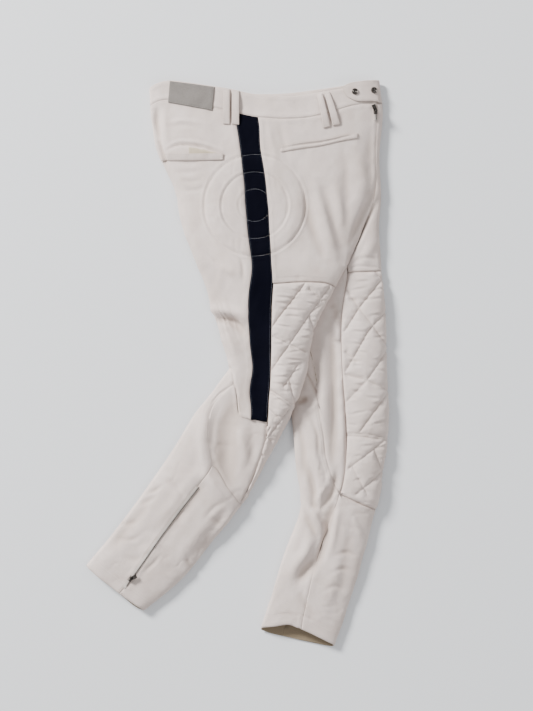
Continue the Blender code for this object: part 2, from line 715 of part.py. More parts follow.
def add_cells(name, xs, ys, zs, filled, frame, material):
    """A solid of joined box cells between the given planes. Filled lists (x, y, z) cells."""
    made = bmesh.new()
    corners = {}

    def corner(i, j, k):
        if (i, j, k) not in corners:
            corners[i, j, k] = made.verts.new(frame @ (Vector((xs[i], ys[j], zs[k])) * MM))
        return corners[i, j, k]

    for cell in filled:
        for axis in range(3):
            for side in (0, 1):
                beside = list(cell)
                beside[axis] += 2 * side - 1
                if tuple(beside) in filled:
                    continue
                places = []
                for du, dv in ((0, 0), (1, 0), (1, 1), (0, 1)):
                    at = list(cell)
                    at[axis] += side
                    at[(axis + 1) % 3] += du
                    at[(axis + 2) % 3] += dv
                    places.append(corner(*at))
                made.faces.new(places if side else places[::-1])
    return add_object(name, made, material)


def resting_frame(leg, place, heading, height):
    """Axes on a leg's upper side: x along the heading, z straight out."""
    point, normal = surface_of(leg, *place)
    z = Vector(normal)
    x = Vector((math.cos(math.radians(heading)), math.sin(math.radians(heading)), 0))
    x = (x - z * x.dot(z)).normalized()
    axes = Matrix((x, z.cross(x), z)).transposed().to_4x4()
    return Matrix.Translation((Vector(point) + z * height) * MM) @ axes


def add_zip_slider(name, leg, places, height, material):
    """A slider with an arched crown, and the pull tab whose bar turns inside it."""
    place, heading, pull_heading = places
    frame = resting_frame(leg, place, heading, height)
    base = {(i, j, 0) for i in range(5) for j in range(3)}
    arch = {(1, 1, 1), (3, 1, 1), (1, 1, 2), (2, 1, 2), (3, 1, 2)}
    add_cells(
        name + "_slider", (-5, -2.8, -1.7, 1.7, 2.8, 5), (-3.5, -0.9, 0.9, 3.5),
        (0, 2.2, 4.2, 5.2), base | arch, frame, material,
    )
    turn = Matrix.Rotation(math.radians(pull_heading - heading), 4, "Z")
    hinge = frame @ Matrix.Translation((0, 0, 3.2 * MM)) @ turn
    bar = {(0, 0, 0), (0, 1, 0), (0, 2, 0), (1, 0, 0), (1, 2, 0), (2, 0, 0), (2, 1, 0), (2, 2, 0)}
    add_cells(
        name + "_pull", (-0.55, 0.55, 4.6, 12.5), (-3.6, -2.6, 2.6, 3.6), (-0.55, 0.55),
        bar, hinge, material,
    )
    return hinge


def beside(points, by):
    """A line of plan points moved sideways."""
    points = np.array(points, float)
    along = np.gradient(points, axis=0)
    along /= np.linalg.norm(along, axis=1, keepdims=True)
    return points + np.column_stack((along[:, 1], -along[:, 0])) * by


def centre_on_origin():
    """Moves everything so that the bounding box stands on the origin."""
    everything = bpy.context.scene.objects
    corners = [o.matrix_world @ v.co for o in everything for v in o.data.vertices]
    lows = [min(c[i] for c in corners) for i in range(3)]
    highs = [max(c[i] for c in corners) for i in range(3)]
    shift = Vector((-(lows[0] + highs[0]) / 2, -(lows[1] + highs[1]) / 2, -lows[2]))
    for o in everything:
        o.data.transform(Matrix.Translation(shift))
    return shift


def clear_scene():
    for old in list(bpy.data.objects):
        bpy.data.objects.remove(old)


def main():
    clear_scene()
    cotton = make_material("cotton_twill", WHITE, 0.85)
    ribbon = make_material("navy_stripe", NAVY, 0.75)
    patch = make_material("label_patch", GREY, 0.8)
    lining = make_material("pocket_lining", LINING, 0.9)
    tape = make_material("zip_teeth", TEETH, 0.6)
    metal = make_material("dark_metal", METAL, 0.35, 0.9)
    right, left = Leg("right", RIGHT_LEG), Leg("left", LEFT_LEG)
    ri, li = right.index, left.index

    front_seam = long_seam(right, CENTRE_FRONT_INSEAM[:9])
    upper_rows = np.arange(0, ri["crotch"] + 0.1, 0.5)
    front_right = curve_through(
        [*upper_rows, ri["crotch"] + 0.5, ri["thigh_a"], ri["thigh_b"], right.last],
        [*[front_seam(v) for v in upper_rows], *(math.radians(a) for a in (-5, -40, -66, -66))],
    )
    back_right = curve_through(
        [0, ri["pocket"] + 0.5, ri["hip"] + 0.1, ri["hip"] + 0.5, ri["pad"], ri["fork"],
         ri["crotch"], ri["crotch"] + 0.5, ri["thigh_a"], ri["thigh_a"] + 0.5, ri["thigh_b"],
         right.last],
        [math.radians(a) for a in (206, 206, 186, 187, 201, 221, 237, 247, 262, 278, 293.6, 293.6)],
    )

    def back_edge(v):
        return math.pi

    def front_edge_right(v):
        return max(0.0, front_right(v) + math.radians(9))

    stripe_back = long_seam(right, STRIPE_BACK_EDGE)
    stripe_front = long_seam(right, STRIPE_FRONT_EDGE)
    zip_seam = long_seam(right, CALF_SEAM_AND_ZIP)
    waist_right = cross_seam(right, WAIST_EDGE_RIGHT)
    band_right = cross_seam(right, BAND_SEAM)
    knee_row = right.locate(-13, -6)[0]
    thigh_hem = cross_seam(right, THIGH_HEM_RIGHT, after=((300, knee_row + 1),))
    quilt_top = cross_seam(right, QUILT_TOP_RIGHT, before=((-66, ri["thigh_b"] + 0.1),))
    shin_row = right.locate(7, -252)[0]
    shin_seam = cross_seam(right, SHIN_SEAM_RIGHT, before=((-66, shin_row),))
    hem_right = cross_seam(
        right, HEM_RIGHT, before=((-66, ri["hem"] + 0.12),), after=((294, ri["hem"] + 0.12),),
    )

    girth = (back_right, back_edge, stripe_back, stripe_front, front_edge_right, front_right)
    at_waist = stations(right, waist_right, girth, (3, 10, 2, 10, 3))
    at_band = stations(right, band_right, girth, (3, 10, 2, 10, 3))
    at_quilt = stations(right, quilt_top, girth[3:], (10, 3))
    at_hem = stations(
        right, thigh_hem, (back_right, back_edge, zip_seam, stripe_back, stripe_front),
        (3, 6, 4, 2),
    )
    at_shin = stations(right, shin_seam, (zip_seam, *girth[3:]), (6, 10, 3))
    at_foot = stations(
        right, hem_right, (back_right, back_edge, zip_seam, *girth[4:]), (3, 6, 16, 3),
    )
    tucked = tucked_under(at_hem, HEM_TUCK)
    for j, line in ((0, back_right), (3, back_edge), (9, zip_seam), (15, stripe_front)):
        tucked[j][1] = line(tucked[j][0])
    even = np.linspace(0, 1, 4)
    by_stripe = rows_down(
        right, stripe_front, (band_right, quilt_top, thigh_hem, shin_seam), (14, 12, 9),
    )
    by_zip = rows_down(right, zip_seam, (thigh_hem, shin_seam, hem_right), (9, 9))
    knee_side_rows = np.concatenate(([tucked[-1][0]], by_stripe[26:]))
    beside_knee = tucked[9][0] + (by_zip[9] - tucked[9][0]) * shares(knee_side_rows)
    by_zip = np.concatenate((beside_knee, by_zip[10:]))
    to_hem = shares(by_stripe[:27])

    lines = {0: back_right, 3: back_edge, 13: stripe_back, 15: stripe_front,
             25: front_edge_right, 28: front_right}
    add_panel("band_right", right, panel_places(lines, at_waist, at_band, even), cotton)
    lines = {0: back_right, 3: back_edge, 13: stripe_back}
    add_panel(
        "back_right", right, panel_places(lines, at_band[:14], at_hem[:14], to_hem),
        cotton, relief=hip_pad_relief, raise_all=lapped_hem,
    )
    lines = {0: stripe_back, 2: stripe_front}
    add_panel(
        "stripe_right", right, panel_places(lines, at_band[13:16], at_hem[13:], to_hem),
        ribbon, relief=hip_pad_relief, raise_all=lapped_hem,
    )
    lines = {0: stripe_front, 10: front_edge_right, 13: front_right}
    add_panel(
        "front_right", right, panel_places(lines, at_band[15:], at_quilt, shares(by_stripe[:15])),
        cotton, relief=hip_pad_relief,
    )
    add_panel(
        "knee_right", right,
        panel_places(lines, at_quilt, at_shin[6:], shares(by_stripe[14:])),
        cotton, relief=quilt_relief(QUILT_LINES_RIGHT),
    )
    lines = {0: zip_seam, 6: stripe_front}
    add_panel(
        "knee_side_right", right,
        panel_places(lines, tucked[9:], at_shin[:7], shares(knee_side_rows)), cotton, gap=0.9,
    )
    lines = {0: back_right, 3: back_edge, 9: zip_seam}
    add_panel(
        "calf_right", right, panel_places(lines, tucked[:10], at_foot[:10], shares(by_zip)),
        cotton, gap=0.7,
    )
    lines = {0: zip_seam, 16: front_edge_right, 19: front_right}
    add_panel(
        "shin_right", right, panel_places(lines, at_shin, at_foot[9:], shares(by_zip[10:])),
        cotton, gap=0.7,
    )

    opening = curve_through(
        [0, li["pocket"] + 0.5, li["hip"] + 0.1, li["hip"] + 0.5, li["pad"], li["fork"],
         li["fork"] + 0.6, li["crotch"] + 0.2],
        [math.radians(a) for a in (208.5, 208.5, 188.5, 182, 176, 165, 148, 100)],
    )
    inseam = long_seam(left, CENTRE_FRONT_INSEAM)
    closed_at = li["crotch"] + 0.7

    def back_left(v):
        if v > closed_at:
            return inseam(v)
        joined = smooth((v - li["crotch"] - 0.2) / 0.5)
        return opening(v) + (inseam(v) - opening(v)) * joined

    def back_edge_left(v):
        return max(math.pi, back_left(v) + math.radians(5))

    def front_left(v):
        apart = 0.05 * smooth((v - li["yoke"]) / 2) * smooth((li["crotch"] + 0.6 - v) / 0.5)
        return math.tau + (front_right(v) if v < li["hip"] else inseam(v)) - apart

    def front_edge_left(v):
        return math.tau

    side_back, side_front = underneath(left, -0.39), underneath(left, -0.19)
    side_calf = underneath(left, -0.40)
    waist_left = both_sides(cross_seam(left, WAIST_EDGE_LEFT))
    band_left = both_sides(band_right)
    quilt_top_left = both_sides(cross_seam(left, QUILT_TOP_LEFT))
    quilt_bottom_left = both_sides(cross_seam(left, QUILT_BOTTOM_LEFT))
    back_of_knee = left.locate(94, 5)[0]
    tip = crossing(front_left, quilt_bottom_left, left.last)
    round_calf = [left.locate(x, y) for x, y in CALF_SEAM_LEFT[::-1]]
    calf_line = [(tip, inseam(tip))] + [(v, left.angle_at(v, w)) for v, w in round_calf[1:-1]]
    calf_line += [(back_of_knee, math.pi), (back_of_knee + 0.3, side_calf(back_of_knee + 0.3))]
    hem_upper = cross_seam(left, HEM_LEFT)
    hem_under = cross_seam(left, HEM_LEFT_UNDER)

    def hem_left(angle):
        folded = abs(math.remainder(angle, math.tau))
        under = smooth(0.5 - math.sin(angle) * 2)
        return hem_upper(folded) * (1 - under) + hem_under(folded) * under

    girth = (back_left, back_edge_left, side_back, side_front, front_edge_left, front_left)
    waist_stations = stations(left, waist_left, girth, (3, 11, 2, 7, 4))
    band_stations = stations(left, band_left, girth, (3, 11, 2, 7, 4))
    quilt_stations = stations(left, quilt_top_left, girth[3:], (7, 4))
    knee_end = stations(left, quilt_bottom_left, girth[2:], (2, 7, 4))
    knee_back = stations_along(left, calf_line, 14)
    stripe_foot = knee_back[-1][0]
    stripe_end = [
        (stripe_foot, underneath(left, across)(stripe_foot)) for across in (-0.39, -0.29, -0.19)
    ]
    foot_front = stations(left, hem_left, (side_back, front_edge_left, front_left), (9, 4))
    foot_back = stations(left, hem_left, (back_left, side_calf), (14,))
    by_inseam = rows_down(
        left, front_left, (band_left, quilt_top_left, quilt_bottom_left, hem_left), (13, 13, 11),
    )
    by_front = at_band[-1][0] + (at_quilt[-1][0] - at_band[-1][0]) * shares(by_stripe[:15])
    shared = by_front[by_front < li["crotch"] + 0.4]
    by_inseam[:14] = np.concatenate(
        (shared, np.linspace(shared[-1], by_inseam[13], 15 - len(shared))[1:])
    )
    to_knee, to_foot = shares(by_inseam[:27]), shares(by_inseam[26:])

    lines = {0: back_left, 3: back_edge_left, 14: side_back, 16: side_front,
             23: front_edge_left, 27: front_left}
    add_panel("band_left", left, panel_places(lines, waist_stations, band_stations, even), cotton)
    add_panel(
        "back_left", left,
        blended_places(back_left, side_calf, band_stations[:15], knee_back, to_knee), cotton,
    )
    lines = {0: side_front, 7: front_edge_left, 11: front_left}
    add_panel(
        "front_left", left,
        panel_places(lines, band_stations[16:], quilt_stations, shares(by_inseam[:14])), cotton,
    )
    add_panel(
        "knee_left", left,
        panel_places(lines, quilt_stations, knee_end[2:], shares(by_inseam[13:27])),
        cotton, relief=quilt_relief(QUILT_LINES_LEFT),
    )
    add_panel(
        "calf_left", left, blended_places(back_left, side_calf, knee_back, foot_back, to_foot),
        cotton, gap=0.9,
    )
    lines = {0: side_back, 9: front_edge_left, 13: front_left}
    add_panel(
        "shin_left", left, panel_places(lines, knee_end, foot_front, to_foot), cotton, gap=0.9,
    )
    lines = {0: side_back, 2: side_front}
    add_panel(
        "stripe_left", left, panel_places(lines, band_stations[14:17], stripe_end, to_knee),
        ribbon, gap=0.9,
    )
    add_panel(
        "knee_side_left", left,
        panel_places(lines, stripe_end, knee_end[:3], np.linspace(0, 1, 10)), cotton, gap=0.9,
    )

    add_strip("waist_tab", right, TAB, (10, 5), LAID_GAP, CLOTH, cotton)
    for name, place in SNAPS.items():
        point, normal = surface_of(right, *place)
        profile = ((0, 0), (5.4, 0), (5.8, 0.5), (5.0, 1.5), (2.8, 2.0), (0, 2.2))
        add_turned(name, profile, point + normal * (2 * LAID_GAP + CLOTH), normal, metal)
    add_strip("label_patch", right, LABEL, (8, 4), LAID_GAP, 1.2, patch)
    for name, ends in BELT_LOOPS.items():
        add_strip(
            name, right, ends, (2, 9), LAID_GAP, CLOTH, cotton,
            rise=lambda s, t: 3.0 * math.sin(math.pi * t) ** 0.7,
        )
    add_strip(
        "back_pocket_welt", right, BACK_WELT, (12, 3), LAID_GAP, CLOTH, cotton,
        rise=lambda s, t: 2.6 * smooth(1 - t) * math.sin(math.pi * s) ** 0.3 + 1.6 * smooth(4 * s - 3),
    )
    add_strip("back_pocket_lining", right, BACK_LINING, (6, 2), LAID_GAP, 0.8, lining)
    add_strip(
        "front_pocket_welt", right, FRONT_WELT, (12, 2), LAID_GAP, CLOTH, cotton,
        rise=lambda s, t: 1.2 * smooth(1 - t) * math.sin(math.pi * s) ** 0.3,
    )
    for name, line in (("ankle_zip", ANKLE_ZIP), ("fly_zip", FLY_ZIP)):
        edges = beside(line, ZIP_HALF_WIDTH), beside(line, -ZIP_HALF_WIDTH)
        add_strip(name, right, edges, (12 if name == "ankle_zip" else 4, 2), LAID_GAP, 1.2, tape)
    above_zip = 2 * LAID_GAP + 1.2
    ankle_hinge = add_zip_slider("ankle_zip", right, ANKLE_SLIDER, above_zip, metal)
    fly_hinge = add_zip_slider("fly_zip", right, FLY_SLIDER, above_zip, metal)
    shift = centre_on_origin()
    print("shift", [round(c, 5) for c in shift])
    for name, hinge in (("ankle", ankle_hinge), ("fly", fly_hinge)):
        place = hinge.translation + shift
        print(name, [round(c, 5) for c in place], [round(c, 4) for c in hinge.col[1][:3]])


main()
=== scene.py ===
# %% [markdown]
# ## Padded riding trousers, laid on their left side
# Two legs of heavy twill, quilted and padded over the knees, with a navy stripe, a padded
# hip, and zips at the fly and the ankle. A simulation could drape them, but a garment that
# lies still is easier to steer. Each packed panel is made into a smooth wall, and
# every corner of it is then moved outwards by a height that is worked out from its place.
# Places are in picture units, 1.8 mm each, from the picture's top left corner. Heights and
# widths of thread, welts and metal are in millimetres.

import math

import bmesh
import bpy
import numpy as np
from mathutils import Matrix, Vector
from mathutils.bvhtree import BVHTree
from mathutils.kdtree import KDTree


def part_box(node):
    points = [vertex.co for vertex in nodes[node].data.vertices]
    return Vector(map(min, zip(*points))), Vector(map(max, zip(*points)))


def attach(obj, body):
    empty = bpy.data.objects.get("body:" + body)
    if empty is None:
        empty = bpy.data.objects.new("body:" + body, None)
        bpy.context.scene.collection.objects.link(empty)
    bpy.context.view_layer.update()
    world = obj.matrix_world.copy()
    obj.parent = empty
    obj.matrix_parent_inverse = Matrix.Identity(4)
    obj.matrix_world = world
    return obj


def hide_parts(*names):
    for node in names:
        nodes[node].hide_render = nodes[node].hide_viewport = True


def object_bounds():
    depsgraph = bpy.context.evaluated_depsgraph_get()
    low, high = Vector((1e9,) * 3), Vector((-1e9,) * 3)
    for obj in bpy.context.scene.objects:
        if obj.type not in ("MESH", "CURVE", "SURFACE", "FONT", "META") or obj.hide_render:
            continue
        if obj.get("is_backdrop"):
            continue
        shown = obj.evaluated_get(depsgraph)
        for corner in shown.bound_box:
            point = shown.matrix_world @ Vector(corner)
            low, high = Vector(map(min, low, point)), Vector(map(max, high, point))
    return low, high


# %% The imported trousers
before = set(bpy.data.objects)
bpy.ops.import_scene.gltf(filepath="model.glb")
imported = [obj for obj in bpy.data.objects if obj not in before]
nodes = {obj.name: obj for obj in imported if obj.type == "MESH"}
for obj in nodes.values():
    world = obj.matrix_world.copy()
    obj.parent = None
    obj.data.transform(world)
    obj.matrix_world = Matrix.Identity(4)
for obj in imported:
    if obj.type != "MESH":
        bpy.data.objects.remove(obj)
cad_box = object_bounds()
print("packed solids:", len(nodes))

# %% Places in the picture
MM = 0.001
PICTURE_WIDTH, PICTURE_HEIGHT = 533, 711
PICTURE_UNIT = 1.8
UNIT = PICTURE_UNIT * MM
ORIGIN = (237.7, 363.644)


def metres(u, v):
    """A place in the picture, in the frame's plan."""
    return (u - ORIGIN[0]) * UNIT, (ORIGIN[1] - v) * UNIT


def picture(x, y):
    """A place in the frame's plan, in the picture."""
    return x / UNIT + ORIGIN[0], ORIGIN[1] - y / UNIT


def smooth(t):
    """From 0 to 1 as t does, with soft ends."""
    t = np.clip(t, 0.0, 1.0)
    return t * t * (3 - 2 * t)


# %% [markdown]
# ## Folds
# Cloth gathers in soft ridges and troughs where a knee bends or a seam pulls. They could be
# sculpted with a brush, but lines in a table are easier to correct against a picture. Each
# fold is a ridge, or a trough where its height is negative. It runs through a few places and
# fades at both ends, and its width is where it has fallen to a third.

# %% The folds of each leg
FOLD_SCALE = 1.7
FOLDS = {
    "right": (
        (-2.4, 3.0, ((157, 106), (156, 124), (160, 140))),
        (1.6, 3.4, ((165, 108), (165, 122), (167, 140))),
        (-5.0, 4.0, ((215, 320), (226, 320), (236, 324), (246, 336))),
        (3.6, 5.0, ((206, 309), (222, 310), (238, 314), (249, 322))),
        (2.4, 6.0, ((222, 334), (230, 342), (238, 356))),
        (-2.0, 5.0, ((303, 190), (312, 228), (325, 262))),
        (2.4, 5.5, ((313, 180), (322, 210), (332, 245), (337, 266))),
        (-1.6, 5.0, ((322, 184), (331, 218), (339, 248))),
        (1.8, 5.0, ((333, 180), (341, 214), (345, 240))),
        (-2.0, 4.0, ((376, 188), (364, 212), (352, 240))),
        (0.8, 2.0, ((168, 122), (186, 121), (202, 124))),
        (-0.7, 1.8, ((168, 127), (186, 126), (200, 129))),
        (-1.6, 5.0, ((345, 150), (346, 200), (344, 246))),
        (1.6, 7.0, ((358, 150), (362, 180), (360, 215))),
        (-1.2, 6.0, ((372, 122), (371, 150), (370, 186))),
        (-0.8, 2.2, ((178, 172), (190, 173), (200, 171))),
        (-0.7, 2.0, ((181, 181), (192, 182), (203, 180))),
        (-0.8, 2.2, ((183, 190), (194, 191), (204, 188))),
        (-0.6, 2.0, ((176, 163), (190, 164), (206, 162))),
        (1.6, 4.0, ((212, 262), (224, 270), (236, 274))),
        (-1.4, 3.0, ((208, 254), (218, 266), (228, 276))),
        (-1.2, 2.0, ((240, 258), (243, 268), (243, 280))),
        (-4.4, 10.0, ((240, 392), (229, 426), (227, 460), (232, 492))),
        (-1.0, 1.2, ((228, 388), (219, 394), (211, 404))),
        (2.4, 5.0, ((209, 398), (202, 428), (204, 460), (215, 488), (232, 506))),
        (2.6, 6.0, ((186, 474), (204, 478), (222, 492), (236, 506))),
        (-1.6, 2.4, ((207, 518), (214, 520), (222, 527))),
        (-1.2, 2.2, ((186, 557), (188, 563), (193, 570))),
        (-1.2, 2.2, ((160, 556), (152, 565), (144, 572))),
        (-1.6, 2.2, ((146, 494), (154, 491), (162, 486))),
        (-1.3, 2.2, ((138, 505), (147, 501), (156, 497))),
        (-1.2, 3.0, ((219, 404), (212, 430), (213, 458), (222, 480))),
        (1.4, 5.0, ((262, 424), (262, 446), (252, 476))),
        (1.6, 5.0, ((236, 424), (244, 446), (248, 468))),
        (-1.4, 4.0, ((252, 430), (252, 452), (244, 474))),
        (-2.0, 6.0, ((212, 470), (192, 500), (164, 536))),
        (2.2, 7.0, ((200, 470), (176, 500), (148, 534))),
        (-2.4, 1.2, ((166, 151), (172, 147), (182, 145), (198, 147), (212, 151), (225, 157))),
        (1.3, 1.6, ((167, 148), (173, 143.5), (183, 141.5), (199, 143.5), (213, 148), (226, 153))),
        (-0.9, 1.0, ((168, 144), (176, 140.5), (190, 140), (206, 143), (222, 149))),
        (-2.6, 2.2, ((158, 138), (161, 150), (167, 166))),
        (-1.2, 0.9, ((274, 280), (300, 278.3), (333, 281.5))),
        (-1.0, 1.2, ((280, 150), (300, 146), (320, 143.5), (340, 139), (358, 133))),
        (1.0, 3.5, ((268, 120), (271, 140), (277, 162))),
        (-0.9, 3.5, ((280, 122), (283, 140), (288, 160))),
        (1.5, 9.0, ((186, 200), (196, 250), (212, 300))),
        (-0.8, 1.4, ((274, 283.2), (300, 281.6), (333, 285.2))),
        (-0.8, 1.0, ((90, 556), (120, 578), (150, 600))),
        (-1.5, 2.0, ((112, 520), (124, 524), (136, 522))),
        (-1.3, 2.0, ((118, 538), (130, 540), (140, 536))),
        (1.6, 4.0, ((236, 506), (224, 524), (210, 538))),
        (-1.4, 3.0, ((228, 500), (214, 508), (204, 520))),
        (-1.4, 2.4, ((164, 478), (176, 486), (186, 500))),
        (-1.8, 5.0, ((150, 500), (128, 528), (108, 552))),
        (1.4, 6.0, ((222, 500), (200, 530), (172, 562))),
        (-1.2, 5.0, ((228, 510), (206, 542), (184, 566))),
        (-1.0, 4.0, ((120, 556), (134, 560), (146, 556))),
    ),
    "left": (
        (2.6, 6.0, ((320, 334), (324, 380), (323, 430), (318, 472))),
        (-3.4, 4.5, ((331, 322), (334, 378), (334, 432), (330, 480))),
        (2.0, 3.0, ((339.5, 330), (342, 400), (343, 446), (341, 486))),
        (-1.2, 1.2, ((339.8, 333), (345.4, 430), (342, 477))),
        (-5.0, 3.0, ((295, 401), (301, 400), (308, 398))),
        (-2.0, 5.0, ((322, 420), (322, 450), (318, 480))),
        (-3.0, 3.0, ((331, 302), (336, 312), (338, 322))),
        (-2.6, 3.0, ((382, 194), (366, 222), (352, 250), (345, 268))),
        (-1.2, 0.9, ((347, 267), (365, 266.5), (383, 267.5))),
        (-1.2, 0.9, ((344, 499), (360, 503), (377, 511))),
        (-1.0, 2.0, ((352, 262), (364, 258), (378, 258))),
        (-1.8, 4.0, ((313, 352), (316, 380), (318, 398))),
        (-1.6, 2.2, ((304, 366), (311, 382), (318, 399))),
        (1.2, 3.0, ((318, 398), (314, 407), (303, 412), (292, 411))),
        (-3.0, 4.0, ((306, 466), (311, 480), (314, 496), (311, 512))),
        (2.6, 4.0, ((314, 446), (319, 470), (321, 490), (318, 508))),
        (-3.0, 3.0, ((337, 470), (333, 492), (322, 508))),
        (1.8, 3.0, ((332, 466), (327, 484), (316, 500))),
        (-2.0, 3.5, ((298, 424), (303, 450), (303, 476))),
        (-3.8, 4.0, ((335, 500), (329, 520), (324, 545), (317, 566))),
        (3.6, 4.0, ((305, 500), (316, 518), (325, 534))),
        (-2.2, 3.0, ((302, 508), (310, 524), (318, 540))),
        (2.6, 5.0, ((310, 536), (306, 552), (298, 562))),
        (2.0, 3.0, ((338, 508), (335, 530), (331, 552))),
        (-3.2, 5.0, ((317, 560), (305, 572), (296, 582))),
        (-0.8, 1.0, ((266, 616), (300, 615), (339, 633))),
        (-1.1, 2.0, ((334, 556), (346, 552), (358, 556))),
        (-1.2, 2.0, ((330, 574), (342, 568), (353, 572))),
        (-1.0, 2.0, ((322, 592), (334, 586), (344, 590))),
        (1.4, 3.0, ((348, 512), (356, 524), (362, 540))),
        (-1.6, 2.6, ((310, 418), (318, 436), (317, 462))),
        (1.6, 6.0, ((306, 556), (296, 566), (290, 584))),
        (-1.6, 5.0, ((300, 590), (306, 606), (316, 622))),
        (1.4, 7.0, ((338, 560), (330, 590), (320, 618))),
        (-1.4, 6.0, ((352, 530), (346, 566), (338, 604))),
        (-1.2, 5.0, ((384, 200), (384, 230), (383, 256))),
        (1.4, 5.0, ((376, 236), (366, 256), (360, 268))),
        (-2.0, 3.0, ((306, 500), (312, 506), (320, 508))),
    ),
}
for leg, table in FOLDS.items():
    deepest = min(height for height, _, _ in table) * FOLD_SCALE
    print(f"{leg} leg: {len(table)} folds, the deepest {deepest:.1f} mm")

# %% The height of one fold

def distance(u, v, line):
    """Distance to a line through some places, and how far along it the nearest place is."""
    best = np.full(u.shape, 1e9)
    along = np.zeros(u.shape)
    spans = [math.dist(a, b) for a, b in zip(line, line[1:])]
    done = 0.0
    for (a, b), span in zip(zip(line, line[1:]), spans):
        du, dv = b[0] - a[0], b[1] - a[1]
        t = np.clip(((u - a[0]) * du + (v - a[1]) * dv) / span**2, 0, 1)
        away = np.hypot(u - a[0] - t * du, v - a[1] - t * dv)
        nearer = away < best
        best = np.where(nearer, away, best)
        along = np.where(nearer, (done + t * span) / sum(spans), along)
        done += span
    return best, along


def ridge(u, v, line, width):
    """1 along a line, falling softly to the sides and to nothing at its ends."""
    away, along = distance(u, v, line)
    return np.exp(-((away / width) ** 2)) * np.sin(np.pi * np.clip(along, 0.03, 0.97)) ** 0.6


def curved(line, steps=3):
    """The line again with more places on it, smoothly bent."""
    if len(line) < 3:
        return line
    ends = [line[0], *line, line[-1]]
    places = []
    for a, b, c, d in zip(ends, ends[1:], ends[2:], ends[3:]):
        a, b, c, d = (np.array(p, float) for p in (a, b, c, d))
        for k in range(steps):
            t = k / steps
            places.append(
                0.5 * (2 * b + (c - a) * t + (2 * a - 5 * b + 4 * c - d) * t * t
                       + (3 * b - a - 3 * c + d) * t**3)
            )
    places.append(np.array(line[-1], float))
    return [tuple(p) for p in places]


# %% All folds of a leg
def folds(u, v, leg):
    """The folds of one leg added up, in millimetres."""
    total = np.zeros(u.shape)
    for height, width, line in FOLDS[leg]:
        total += FOLD_SCALE * height * ridge(u, v, curved(line), width)
    return total


# %% [markdown]
# ## The cloth's own unevenness
# Worn twill is never quite flat. A displacement from a noise texture could do this, but here
# the noise also has to grow livelier towards the hems, so it is worked out from a small table
# of seeded random numbers, which gives the same cloth every time.

# %% Swells and small creases
BROAD_SWELL, FINE_SWELL, SMALL_CREASE = 0.9, 0.35, 0.7
CREASES_FROM, CREASES_FADE = 250, 250


def lattice_noise(u, v, seed):
    """Smooth noise from -1 to 1, one swell to each unit of u and v."""
    table = np.random.default_rng(seed).uniform(-1, 1, (64, 64))
    i, j = np.floor(u).astype(int), np.floor(v).astype(int)
    s, t = smooth(u - i), smooth(v - j)
    rows = [table[(i + a) % 64, (j + b) % 64] for a in (0, 1) for b in (0, 1)]
    return (rows[0] * (1 - t) + rows[1] * t) * (1 - s) + (rows[2] * (1 - t) + rows[3] * t) * s


def ripples(u, v):
    """The cloth's own slight unevenness, livelier towards the hems."""
    broad = lattice_noise(u / 17 + 3, v / 26 + 5, 1)
    fine = lattice_noise(u / 6 + v / 30, v / 9, 2)
    creases = 1 - np.abs(lattice_noise(u / 16 + v / 50, v / 7 - u / 40, 6))
    slight = smooth(lattice_noise(u / 30, v / 34, 7) + 0.5) * smooth((v - CREASES_FROM) / CREASES_FADE)
    creased = SMALL_CREASE * smooth(creases * 3 - 2) * slight
    return BROAD_SWELL * broad + FINE_SWELL * fine - creased


# %% [markdown]
# ## Quilted knees
# The knee panels are two layers of twill over foam, stitched through in crossing rows. The
# thread sinks, the foam swells between the rows, and the cloth puckers beside them. A bump
# texture would show no relief from the side, so the grooves are in the mesh. A row is a line
# through a few places, and a pucker is a short line of its own.

# %% Rows of quilting
QUILTS = {
    "right": (
        ((304.7, 284), (291, 302), (277, 320), (271, 329)),
        ((329, 287), (309, 315), (289, 345), (271, 370)),
        ((273, 337), (290, 345)),
        ((309, 290), (322, 301)),
        ((309, 316), (315, 334)),
        ((290, 345), (305, 352)),
        ((271, 391), (292, 404)),
        ((272, 394), (290, 406)),
        ((289, 380), (295, 403)),
        ((297, 366), (284, 386)),
        ((262, 402), (281, 421)),
        ((290, 408), (257, 452)),
        ((258, 424), (271, 441)),
        ((252, 436), (263, 456)),
        ((270, 428), (250, 470)),
    ),
    "left": (
        ((384, 277), (359, 308), (344, 332)),
        ((346, 289), (359, 309), (373, 326), (388, 346)),
        ((386, 312), (369, 330), (345, 372)),
        ((388, 350), (367, 380), (345, 403)),
        ((343, 374), (367, 380), (389, 391)),
        ((388, 393), (360, 431)),
        ((345, 433), (366, 434), (389, 438)),
        ((345, 435.6), (366, 436.6), (389, 440.6)),
        ((388, 438), (349, 468)),
        ((374, 449), (381, 468)),
        ((385, 470), (356, 494)),
        ((352, 467), (367, 494)),
        ((346, 352), (356, 362)),
        ((372, 268), (386, 282)),
    ),
}

